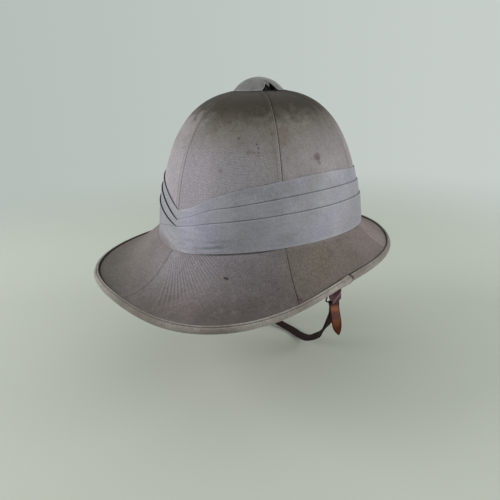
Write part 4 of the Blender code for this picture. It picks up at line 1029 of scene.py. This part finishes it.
def build_turn(name, layer, finish, replaced):
    """One turn of the scarf: a folded edge that stands off a little, the visible strip, and a foot."""
    edges = ("fold_upper", "fold_lower", "band")
    is_band = layer == 2
    azimuth = FIRST_AZIMUTH + np.arange(0.0, 360.0, 1.25)
    offset = FOLD_FIRST_OFFSET + FOLD_SPACING * layer + FOLD_THICKNESS / 2
    wall = crown_foot_radius(azimuth) + offset
    foot_radius = scarf_foot_radius(azimuth) - FOLD_THICKNESS / 2 if is_band else wall
    foot = brim_height(azimuth, foot_radius) + FOOT_ABOVE_BRIM
    top = scarf_top(edges[layer], azimuth)
    edge_rows, fold_end = FOLD_ROWS[:, None] + 0 * azimuth, FOLD_ROWS[-1]
    if is_band:
        strip = np.ones(len(azimuth))       # no other turn covers it: its edge counts as a metre down
        reach = top - foot - FOOT_BEND
        depth = np.concatenate([edge_rows, fold_end + (reach - fold_end) * np.linspace(0, 1, 11)[1:, None]])
    else:
        strip = top - scarf_top(edges[layer + 1], azimuth)
        shown = fold_end + (strip - fold_end - 0.0012) * np.linspace(0, 1, 5)[1:, None]
        crease = strip + CREASE_ROWS[:, None]
        hidden = crease[-1] + (top - foot - crease[-1]) * np.linspace(0, 1, 6)[1:, None]
        depth = np.concatenate([edge_rows, shown, crease, hidden])
    height = top - depth
    radius = crown_radius(azimuth, height) + offset
    if is_band:
        radius = np.concatenate([radius, bent(radius[-1], wall - 0.0002, foot_radius, FOOT_ROWS)])
        height = np.concatenate([height, bent(height[-1], foot + 0.0016, foot, FOOT_ROWS)])
        depth = np.concatenate([depth, depth[-1] + 0.0010 * np.arange(1, FOOT_ROWS)[:, None]])
    left = smooth_step(azimuth, 312, 330) * smooth_step(azimuth, 362.9, 357)
    radius = radius + (0.00030 + 0.00050 * left) * np.exp(-(depth / (0.0030 + 0.0012 * left)) ** 2)
    middle = around(azimuth, radius, height)
    slope = unit(np.stack([np.gradient(radius, axis=0), np.gradient(height, axis=0)], -1))
    out = around(azimuth, -slope[..., 1], slope[..., 0])
    half = FOLD_THICKNESS / 2 * np.clip(0.35 + depth / 0.0006, 0.35, 1.0)
    ripples = np.stack([azimuth * 0.0019 + 0 * radius, height * 3.2, 0 * radius], -1)
    relief = lumps(middle * np.array([1, 1, 3.0]), 22.0, 5.0 + layer) * 0.00022
    relief = relief + lumps(ripples, 60.0, layer) * 0.00016
    relief = relief * smooth_step(strip - depth, 0.0, 0.002) * smooth_step(depth, 0.0, 0.002)
    outer = middle + out * (half + relief)[..., None]
    inner = middle - out * half[..., None]
    girth, down = one_more(lengths(middle[3]), 0.0027), lengths(middle[:, 100])
    away = 0.0 if is_band else 1.0          # a metre off, because only the band has these marks
    # below_edge places a painted highlight; above_next, over_crease and crease_line place painted shadow
    # lines; tone paints light and shade
    marks = {"below_edge": depth, "above_next": np.maximum(strip - depth, 0.0),
             "above_foot": height - foot + away,
             "dusty": ring_table(DUSTY_BELOW, "height", azimuth) - height - away,
             "over_crease": height - ring_table(SIDE_CREASE, "height", azimuth) + away,
             "crease_dark": ring_table(SIDE_CREASE, "dark", azimuth) + 0 * depth,
             "crease_line": ring_table(CREASE_LINE, "strength", azimuth) + 0 * depth,
             "tone": ring_table(SCARF_SHADING, "tone", azimuth) + 0 * depth}
    marks = {mark: np.concatenate([values, values[::-1]]) for mark, values in marks.items()}
    mesh = ring_mesh(name, np.concatenate([outer, inner[::-1]]), laid_out(girth, there_and_back(down)), marks)
    piece = show(name, mesh, finish, "scarf_cloth", replaced)


# --- ventilator -----------------------------------------------------------------------------------

def build_cap(finish):
    """A shallow dome of drawn cloth whose rim is lifted in one place."""
    rise = CAP_TOP_HEIGHT - CAP_RIM_HEIGHT
    dome = (CAP_RADIUS**2 + rise**2) / (2 * rise)
    widest = math.asin(CAP_RADIUS / dome)
    azimuth = np.concatenate([np.arange(-25, 25, 0.7), np.arange(25, 335, 2.5)]) + NOTCH_AZIMUTH
    along = np.radians((azimuth - NOTCH_AZIMUTH + 180) % 360 - 180) * CAP_RADIUS
    end = widest - np.interp(along, NOTCH_OUTLINE["along"], NOTCH_OUTLINE["lift"], left=0.0, right=0.0) / dome
    share = np.concatenate([np.linspace(0, 0.86, 20), [0.90, 0.935, 0.96, 0.98, 0.992, 1.0]])[:, None]
    angle = share * end
    rim_gap = (end - angle) * dome
    pucker = np.sin(np.radians(azimuth) * 23 + 2.0 * np.sin(np.radians(azimuth) * 5)) * 0.00022
    pucker = pucker * smooth_step(share, 0.35, 0.95) * smooth_step(rim_gap, 0.0, 0.0012)
    roll = 0.00050 * np.exp(-((rim_gap - 0.0009) / 0.0009) ** 2)
    near_notch = np.exp(-(along / 0.0090) ** 2)
    lifted = 0.0009 * near_notch * smooth_step(rim_gap, 0.0070, 0.0005)
    folds = 0.00045 * near_notch * np.sin(along / 0.0023) * smooth_step(rim_gap, 0.0120, 0.0030)
    spread = around(azimuth, np.sin(angle), np.cos(angle))
    points = UP * (CAP_TOP_HEIGHT - dome) + spread * (dome + pucker + roll + lifted + folds)[..., None]
    outer = points + spread * (lumps(points, 90.0, 2.0) * 0.00018 * smooth_step(share, 0.02, 0.2))[..., None]
    inner = outer - spread * (CAP_THICKNESS * (0.25 + 0.75 * smooth_step(rim_gap, 0.0, 0.0008)))[..., None]
    outer[0], inner[0] = outer[0].mean(0), inner[0].mean(0)
    wide = np.concatenate([share[:, 0], share[::-1, 0]])[:, None] * widest * dome
    spin = np.radians(np.append(azimuth, azimuth[0] + 360))
    flat = np.stack([wide * np.cos(spin), wide * np.sin(spin)], -1)
    # inside marks the cloth's inner face, which is painted in shade
    marks = {"rim_gap": np.concatenate([rim_gap, rim_gap[::-1]]),
             "inside": np.repeat([0.0, 1.0], len(share))[:, None]}
    mesh = ring_mesh("ventilator_cap_cloth", np.concatenate([outer, inner[::-1]]), flat, marks,
                     wrap_rows=False, weld=1e-6)
    show("ventilator_cap_cloth", mesh, finish, "cap_cloth", "ventilator_cap")


def node_group(name, inputs):
    """An empty geometry node group with named inputs and one mesh output."""
    group = bpy.data.node_groups.new(name, "GeometryNodeTree")
    group.interface.new_socket("Geometry", in_out="OUTPUT", socket_type="NodeSocketGeometry")
    group.interface.new_socket("Geometry", in_out="INPUT", socket_type="NodeSocketGeometry")
    for label, value in inputs.items():
        kind = "NodeSocketFloat" if isinstance(value, float) else "NodeSocketMaterial"
        group.interface.new_socket(label, in_out="INPUT", socket_type=kind)
    entry = group.nodes.new("NodeGroupInput")
    return group, {item.name: Value(group, item) for item in entry.outputs if item.name}


def step_of(group, kind, **inputs):
    """One geometry node, its inputs by name."""
    inputs = {name.replace("_", " "): value for name, value in inputs.items()}
    return node(group, "GeometryNode" + kind, {}, inputs)


def grown(name, start, group, inputs, made, material):
    """Ends a geometry node group with what it makes, runs it on a mesh, and keeps a plain mesh."""
    real = step_of(group, "RealizeInstances", Geometry=made)
    dressed = step_of(group, "SetMaterial", Geometry=real, Material=material)
    feed(group, group.nodes.new("NodeGroupOutput").inputs[0], dressed)
    holder = bpy.data.objects.new(name + "_path", start)
    bpy.context.scene.collection.objects.link(holder)
    step = holder.modifiers.new("grow", "NODES")
    step.node_group = group
    for item in group.interface.items_tree:
        if item.item_type == "SOCKET" and item.in_out == "INPUT" and item.name in inputs:
            step[item.identifier] = inputs[item.name]
    bpy.context.view_layer.update()
    mesh = bpy.data.meshes.new_from_object(holder.evaluated_get(bpy.context.evaluated_depsgraph_get()))
    mesh.name = name
    holder.modifiers.remove(step)
    bpy.data.objects.remove(holder, do_unlink=True)
    return mesh


def path_mesh(name, paths):
    points, edges = np.concatenate(paths), []
    for path, end in zip(paths, np.cumsum([len(path) for path in paths]).tolist()):
        edges += [(i, i + 1) for i in range(end - len(path), end - 1)]
    mesh = bpy.data.meshes.new(name)
    mesh.from_pydata([tuple(p) for p in points], edges, [])
    return mesh


def build_stitches(name, paths, thread):
    """Stitches laid end to end along paths."""
    inputs = {"Pitch": STITCH_PITCH, "Stitch Length": STITCH_PITCH * 0.80, "Thread Radius": THREAD_RADIUS,
              "Material": thread}
    group, given = node_group("stitches_along_seams", inputs)
    path = step_of(group, "MeshToCurve", Mesh=given["Geometry"])
    spaced = node(group, "GeometryNodeResampleCurve", {"mode": "LENGTH"},
                  {"Curve": path, "Length": given["Pitch"]})
    facing = node(group, "FunctionNodeAlignRotationToVector", {"axis": "Z"},
                  {"Vector": step_of(group, "InputTangent")})
    ball = step_of(group, "MeshUVSphere", Segments=6, Rings=5, Radius=1.0)
    thick = given["Thread Radius"]
    stitch = step_of(group, "Transform", Geometry=ball,
                     Scale=together(group, thick, thick, given["Stitch Length"] * 0.5))
    placed = step_of(group, "InstanceOnPoints", Points=spaced, Instance=stitch, Rotation=facing)
    mesh = grown(name, path_mesh(name, paths), group, inputs, placed, given["Material"])
    mesh.shade_smooth()
    show(name, mesh, thread, "cover_cloth")


def seam_paths():
    """Stitch lines on the lapped edge of each seam, on the crown and on the brim."""
    paths = []
    for number in range(1, 7):
        for start, end in ((0.0, 1.0), (1.0, 1.995)):
            way = np.linspace(start, end, 160)
            seam = seam_at(number, way)
            radius = level_radius(cover_point(seam, way))
            azimuth = seam - np.degrees(STITCH_INSET / radius)
            point = cover_point(azimuth, way)
            shown, gap = show_from(way, azimuth, point)
            rise = lap_rise(number, way, radius, shown) + 0.00002
            keep = (gap > 0.001) & (radius > STITCHES_START)
            if keep.sum() > 3:
                paths.append((point + cover_normal(azimuth, way) * rise[:, None])[keep])
    return paths


def build_collar(finish):
    """A crimped ring of blackened sheet between the crown and the cap."""
    inputs = {"Radius": COLLAR_RADIUS, "Crimp Depth": CRIMP_DEPTH, "Crimps": CRIMPS, "Height": COLLAR_HEIGHT,
              "Foot Height": COLLAR_BASE_HEIGHT, "Hole Radius": COLLAR_INNER_RADIUS, "Material": finish}
    group, given = node_group("crimped_ring", inputs)
    ring = step_of(group, "MeshGrid", Size_X=1.0, Size_Y=1.0, Vertices_X=241, Vertices_Y=9)
    spot = step_of(group, "InputPosition")
    turn, step = (spot.part("X") + 0.5) * FULL_TURN, (spot.part("Y") + 0.5) * 8.0

    def at_step(number):
        return step.math("COMPARE", number, 0.1)

    def steps_between(low, high):
        return step.math("GREATER_THAN", low) * step.math("LESS_THAN", high)

    crimped = given["Radius"] + given["Crimp Depth"] * (turn * given["Crimps"]).cosine()
    outer = crimped - (at_step(2.0) + at_step(4.0)) * COLLAR_ROUNDING
    inward = (steps_between(5.5, 7.5) + at_step(5.0) * 0.5).least(1.0)
    radius = outer + (given["Hole Radius"] - outer) * inward
    height = given["Foot Height"] + given["Height"] * steps_between(1.5, 6.5)
    height = height - given["Height"] * at_step(2.0) * 0.08
    position = together(group, radius * turn.cosine(), radius * turn.sine(), height)
    moved = step_of(group, "SetPosition", Geometry=ring, Position=position)
    joined = step_of(group, "MergeByDistance", Geometry=moved, Distance=0.00002)
    start = bpy.data.meshes.new("crimped_collar_start")
    mesh = cleaned(grown("crimped_collar", start, group, inputs, joined, given["Material"]), 1e-5)
    show("crimped_collar", mesh, finish, "vent_metal", "ventilator_collar")


# --- headband and chin strap ----------------------------------------------------------------------

def build_headband(finish):
    """An upright leather band with a rounded lower edge; its top edge turns out to the wall."""
    azimuth = np.arange(0.0, 360.0, 2.0)
    inner = oval_radius(HEADBAND_HALF_LENGTH, HEADBAND_HALF_WIDTH, azimuth)
    outer = inner + HEADBAND_THICKNESS
    reach = crown_radius(azimuth, HEADBAND_HEIGHT) - HEADBAND_OFF_COVER
    high, under = HEADBAND_HEIGHT, HEADBAND_HEIGHT - HEADBAND_THICKNESS
    profile = [(inner, 0.0005), (inner, high * 0.35), (inner, high * 0.7), (inner + 0.0001, high - 0.0008),
               (inner + 0.0008, high), (reach - 0.0003, high), (reach, (high + under) / 2),
               (reach - 0.0003, under), (outer + 0.0006, under), (outer, high - 0.0026), (outer, high * 0.5),
               (outer, 0.0005), (outer - 0.0004, 0.0), (inner + 0.0004, 0.0)]
    rows = np.stack([around(azimuth, r, z) for r, z in profile])
    flat = laid_out(np.linspace(0, 0.58, len(azimuth) + 1), np.linspace(0, 0.11, len(profile) + 1))
    show("sweatband", ring_mesh("sweatband", rows, flat), finish, "band_leather", "headband")


def table_rows(table, steps):
    """Rows of a route with more rows eased in between."""
    columns = np.array(list(table.values()), float)
    places = lengths(columns[:3].T)
    at = np.concatenate([np.linspace(a, b, steps, endpoint=False) for a, b in zip(places[:-1], places[1:])]
                        + [places[-1:]])
    return np.stack([eased({"at": places, "column": column}, "column", at, "at") for column in columns], -1)


def level_across(facing):
    return around(np.asarray(facing, float) - 90, 1.0, 0.0)


def bar_turn(height, first, last):
    """Middle points round a bar of the buckle; angle 0 is its outer side, 90 its top."""
    angle = np.radians(np.linspace(first, last, 15))[:, None]
    swing = around(BUCKLE_FACING, 1.0, 0.0) * np.cos(angle) + UP * np.sin(angle)
    return np.array([*BUCKLE_CENTRE, height]) + swing * STRAP_TURN_RADIUS


def sewn(side):
    """Middle points of the stretch sewn to the headband, from its top down."""
    radius = oval_radius(HEADBAND_HALF_LENGTH, HEADBAND_HALF_WIDTH, STRAP_SEWN_AZIMUTH)
    radius += HEADBAND_THICKNESS + 2 * GAP + STRAP_THICKNESS / 2
    return around(side * STRAP_SEWN_AZIMUTH, radius, np.array(STRAP_SEWN_HEIGHTS))


def strap_outline():
    """Section of a strap: share of its half width, height off its middle, and inset of its corners."""
    half, outline = STRAP_THICKNESS / 2, []
    for side, face in ((1, 1), (-1, 1), (-1, -1), (1, -1)):
        for turn in ((0, 30, 60, 90) if side * face > 0 else (90, 60, 30, 0)):
            c, s = math.cos(math.radians(turn)), math.sin(math.radians(turn))
            outline.append((side, face * (half - STRAP_EDGE + STRAP_EDGE * s), side * (c - 1) * STRAP_EDGE))
        if side * face > 0:
            outline += [(share * side, face * half, 0.0) for share in (0.5, 0.0, -0.5)]
    return np.array(outline).T


def ribbon(name, middle, across, width, finish, marks, nodes):
    """A flat leather strap with rounded edges and closed ends. Its marks are for face 1, -1 or both, 0."""
    along = unit(np.gradient(middle, axis=0))
    across = unit(across - along * (across * along).sum(-1, keepdims=True))
    normal = np.cross(across, along)
    share, rise, inset = strap_outline()
    points = (middle[:, None] + across[:, None] * (width[:, None] / 2 * share + inset)[..., None]
              + normal[:, None] * rise[:, None])
    stations, corners = points.shape[:2]
    faces, pattern = grid_faces(stations, corners, False, True)
    flat = laid_out(one_more(lengths(points[stations // 2]), 0.001), one_more(lengths(middle), 0.0))
    last = (stations - 1) * corners
    faces = [*faces.tolist(), list(range(corners)), list(range(last, last + corners))]
    corner_flat = np.concatenate([flat.reshape(-1, 2)[pattern].reshape(-1, 2), np.zeros((2 * corners, 2))])
    given = {"edge": np.broadcast_to(np.abs(share), (stations, corners))}
    for mark, (per_station, face) in marks.items():
        given[mark] = per_station[:, None] * ((rise * face > 0) if face else np.ones(corners))
    mesh = mesh_from(name, points.reshape(-1, 3), faces, corner_flat, given)
    show(name, mesh, finish, "strap_leather", nodes)


def build_straps(finish):
    """The short strap that holds the buckle, and the long one under the chin, round it and down."""
    turn_across = level_across(BUCKLE_FACING)
    sewn_facing = SHORT_STRAP_ROUTE["facing"][0]
    route = table_rows(SHORT_STRAP_ROUTE, 6)
    turn = bar_turn(BUCKLE_TOP_BAR, 0, -180)
    before = turn[0] + UP * STRAIGHT_ABOVE_BAR * np.array([[1.0], [0.5]])
    after = turn[-1] + UP * TURNED_UP_LENGTH * np.array([[0.5], [1.0]])
    middle = np.concatenate([sewn(1), route[:, :3], before, turn, after])
    across = np.concatenate([[level_across(sewn_facing)] * 3, level_across(route[:, 3]),
                             [turn_across] * (len(turn) + 4)])
    plain = (np.zeros(len(middle)), 0)
    ribbon("chin_strap_short", middle, across, np.full(len(middle), STRAP_WIDTH), finish,
           {"tan": plain, "dark": plain}, "strap_short")

    free, chin = table_rows(FREE_END_ROUTE, 8), table_rows(CHIN_ROUTE, 7)
    turn = bar_turn(BUCKLE_BOTTOM_BAR, 0, 180)
    rest = len(chin) + 3
    middle = np.concatenate([free[:, :3], turn, chin[:, :3], sewn(-1)[::-1]])
    across = np.concatenate([level_across(free[:, 3]), [turn_across] * len(turn), chin[:, 3:6],
                             [-level_across(-sewn_facing)] * 3])
    width = np.concatenate([free[:, 4], np.full(len(turn) + rest, STRAP_WIDTH)])
    tan = np.concatenate([np.ones(len(free)), np.linspace(1, 0.2, len(turn)), np.full(rest, 0.25)])
    # dark and shade paint the chin strap's inner face and its stretch below the buckle in shade
    dark = np.repeat([0.0, 1.0], [len(free) + len(turn), rest])
    shade = np.interp(np.arange(-len(free), len(turn) + rest), (-1, 0, 60, 85), (0.0, 1.0, 1.0, 0.6))
    marks = {"tan": (tan, 0), "dark": (dark, -1), "shade": (shade, 0)}
    ribbon("chin_strap_long", middle, across, width, finish, marks, "strap_long")


def rounded_corners(half_x, half_y, corner, step):
    """Points round a rectangle with rounded corners, and the directions outward, corner by corner."""
    for quarter, (side_x, side_y) in enumerate(((1, 1), (-1, 1), (-1, -1), (1, -1))):
        angle = np.radians(90 * quarter + np.arange(0, 91, step))
        outward = np.stack([np.cos(angle), np.sin(angle)], -1)
        yield np.array([side_x * (half_x - corner), side_y * (half_y - corner)]) + corner * outward, outward


def build_buckle(finish):
    """A frame of round wire, tilted in the straps."""
    across, face = level_across(BUCKLE_FACING), around(BUCKLE_FACING, 1.0, 0.0)
    half_height = (BUCKLE_TOP_BAR - BUCKLE_BOTTOM_BAR) / 2
    corners = rounded_corners(BUCKLE_WIDTH / 2, half_height, BUCKLE_CORNER_RADIUS, 15)
    x, z = np.concatenate([points for points, _ in corners]).T[..., None]
    path = (np.array([*BUCKLE_CENTRE, BUCKLE_BOTTOM_BAR + half_height])
            + across * (BUCKLE_SHIFT + x * math.cos(BUCKLE_TILT) - z * math.sin(BUCKLE_TILT))
            + UP * (x * math.sin(BUCKLE_TILT) + z * math.cos(BUCKLE_TILT)))
    other = unit(np.cross(unit(np.roll(path, -1, 0) - np.roll(path, 1, 0)), face))
    angle = np.radians(np.arange(0, 360, 30))[None, :, None]
    points = path[:, None] + BUCKLE_WIRE_RADIUS * (np.cos(angle) * face + np.sin(angle) * other[:, None])
    flat = laid_out(np.arange(points.shape[1] + 1) * 0.0004, np.arange(len(path) + 1) * 0.001)
    mesh = ring_mesh("chin_strap_buckle", points, flat)
    show("chin_strap_buckle", mesh, finish, "buckle_metal", "buckle_frame")


def build_keeper(finish):
    """A leather loop round both layers of the short strap; its front reaches down over the buckle."""
    half_wide = STRAP_WIDTH / 2 + 2 * GAP + KEEPER_THICKNESS / 2
    half_deep = STRAP_TURN_RADIUS + STRAP_THICKNESS / 2 + GAP + KEEPER_THICKNESS / 2
    corners = list(rounded_corners(half_wide, half_deep, KEEPER_CORNER, 18))
    front = np.linspace(half_wide - KEEPER_CORNER, KEEPER_CORNER - half_wide, 18)[1:-1]
    corners.insert(1, (np.stack([front, np.full(16, half_deep)], -1), np.tile([0.0, 1.0], (16, 1))))
    local, outward = (np.concatenate(parts) for parts in zip(*corners))
    axes = np.stack([level_across(BUCKLE_FACING), around(BUCKLE_FACING, 1.0, 0.0)])
    path, outward = np.array([*BUCKLE_CENTRE, 0.0]) + local @ axes, outward @ axes
    high, thick, round_off = KEEPER_MIDDLE + KEEPER_HEIGHT / 2, KEEPER_THICKNESS / 2, 0.0003
    low = np.interp(local[:, 0], KEEPER_TAB["across"], KEEPER_TAB["low"])
    low = np.where(local[:, 1] > half_deep - 0.0006, low, KEEPER_MIDDLE - KEEPER_HEIGHT / 2)
    section = [(-thick, low + round_off), (-thick, high - round_off), (-thick + round_off, high),
               (thick - round_off, high), (thick, high - round_off), (thick, low * 0.3 + high * 0.7),
               (thick, low * 0.7 + high * 0.3), (thick, low + round_off), (thick - round_off, low),
               (-thick + round_off, low)]
    points = np.stack([path + outward * o + UP * (z + 0 * low)[:, None] for o, z in section], 1)
    flat = laid_out(np.arange(len(section) + 1) * 0.0015, np.arange(len(path) + 1) * 0.0015)
    marks = {"edge": np.array([0, 0, 1, 1, 0, 0, 0, 0, 1, 1]) * 0.9, "tan": 0.0, "dark": 0.0}
    mesh = ring_mesh("chin_strap_keeper", points, flat, marks)
    show("chin_strap_keeper", mesh, finish, "strap_leather", "strap_keeper")


# --- studio ---------------------------------------------------------------------------------------

def floor_finish():
    """A pale floor that fades into the room some way out from the helmet."""
    finish = Finish("pale_floor", Specular_IOR_Level=0.1)
    finish.done(finish.mix((0.450, 0.472, 0.418), (0.472, 0.494, 0.438), finish.clouds(1.5)), 0.95)
    clear = node(finish.tree, "ShaderNodeBsdfTransparent")
    far = finish.distance((0.0, 0.0, FLOOR_HEIGHT)).rises(0.35, 1.20)
    shown = node(finish.tree, "ShaderNodeMixShader", {}, {
        0: far, 1: Value(finish.tree, finish.shader.outputs["BSDF"]), 2: clear})
    feed(finish.tree, finish.out.inputs["Surface"], shown)
    return finish.material


def build_studio():
    """Floor, room and two windows."""
    mesh = bpy.data.meshes.new("studio_floor")
    corners = ((-3, -3), (3, -3), (3, 3), (-3, 3))
    mesh.from_pydata([(x, y, FLOOR_HEIGHT) for x, y in corners], [], [(0, 1, 2, 3)])
    floor = bpy.data.objects.new("studio_floor", mesh)
    bpy.context.scene.collection.objects.link(floor)
    mesh.materials.append(floor_finish())
    world = bpy.data.worlds.new("pale_room")
    world.use_nodes = True
    sideways = node(world.node_tree, "ShaderNodeTexCoord", output="Generated").vector(
        "DOT_PRODUCT", (-0.624, -0.781, 0.0), output="Value")
    wall = node(world.node_tree, "ShaderNodeMix", {"data_type": "RGBA"},
                {0: sideways.rises(-0.7, 0.7), 6: (0.462, 0.508, 0.476), 7: (0.580, 0.626, 0.598)}, 2)
    feed(world.node_tree, world.node_tree.nodes["Background"].inputs["Color"], wall)
    bpy.context.scene.world = world
    aim = Vector((0, 0, 0.03))
    for name, place, power in (("window_left", (0.78, 1.18, 0.55), 19.0),
                               ("window_right", (-1.12, -0.92, 0.50), 15.0)):
        light = bpy.data.lights.new(name, "AREA")
        light.shape, light.size, light.energy, light.color = "DISK", 1.0, power, (1.0, 0.98, 1.0)
        lamp = bpy.data.objects.new(name, light)
        lamp.location = place
        lamp.rotation_euler = (aim - Vector(place)).to_track_quat("-Z", "Y").to_euler()
        bpy.context.scene.collection.objects.link(lamp)


def build_camera():
    """The photograph's viewpoint: a 36 mm lens on a square 36 mm frame."""
    data = bpy.data.cameras.new("camera")
    data.lens, data.sensor_width = 36.0, 36.0
    data.clip_start, data.clip_end = 0.01, 30.0
    camera = bpy.data.objects.new("camera", data)
    right, up = (-0.62388, -0.78106, -0.02683), (0.25465, -0.23563, 0.93789)
    turn = Matrix((right, up, (-0.73886, 0.57830, 0.34590))).transposed()
    camera.matrix_world = Matrix.Translation((-0.43822, 0.36094, 0.17432)) @ turn.to_4x4()
    bpy.context.scene.collection.objects.link(camera)
    bpy.context.scene.camera = camera
    bpy.context.scene.view_settings.view_transform = "Standard"


# --- the dressed helmet ---------------------------------------------------------------------------

build_camera()
build_studio()

khaki, muslin, leather = cover_cloth(), scarf_cloth(), strap_leather()
build_wall(lining_cloth())
for number in range(6):
    build_gore(number, khaki)
build_binding(edge_cloth())
build_turn("scarf_pleat_upper", 0, muslin, "pugaree_fold_upper")
build_turn("scarf_pleat_lower", 1, muslin, "pugaree_fold_lower")
build_turn("scarf_band", 2, muslin, "pugaree_band")
build_cap(cap_cloth())
build_collar(dark_metal())
build_stitches("seam_stitches", seam_paths(), thread_finish())
build_headband(band_leather())
build_straps(leather)
build_keeper(leather)
build_buckle(buckle_metal())
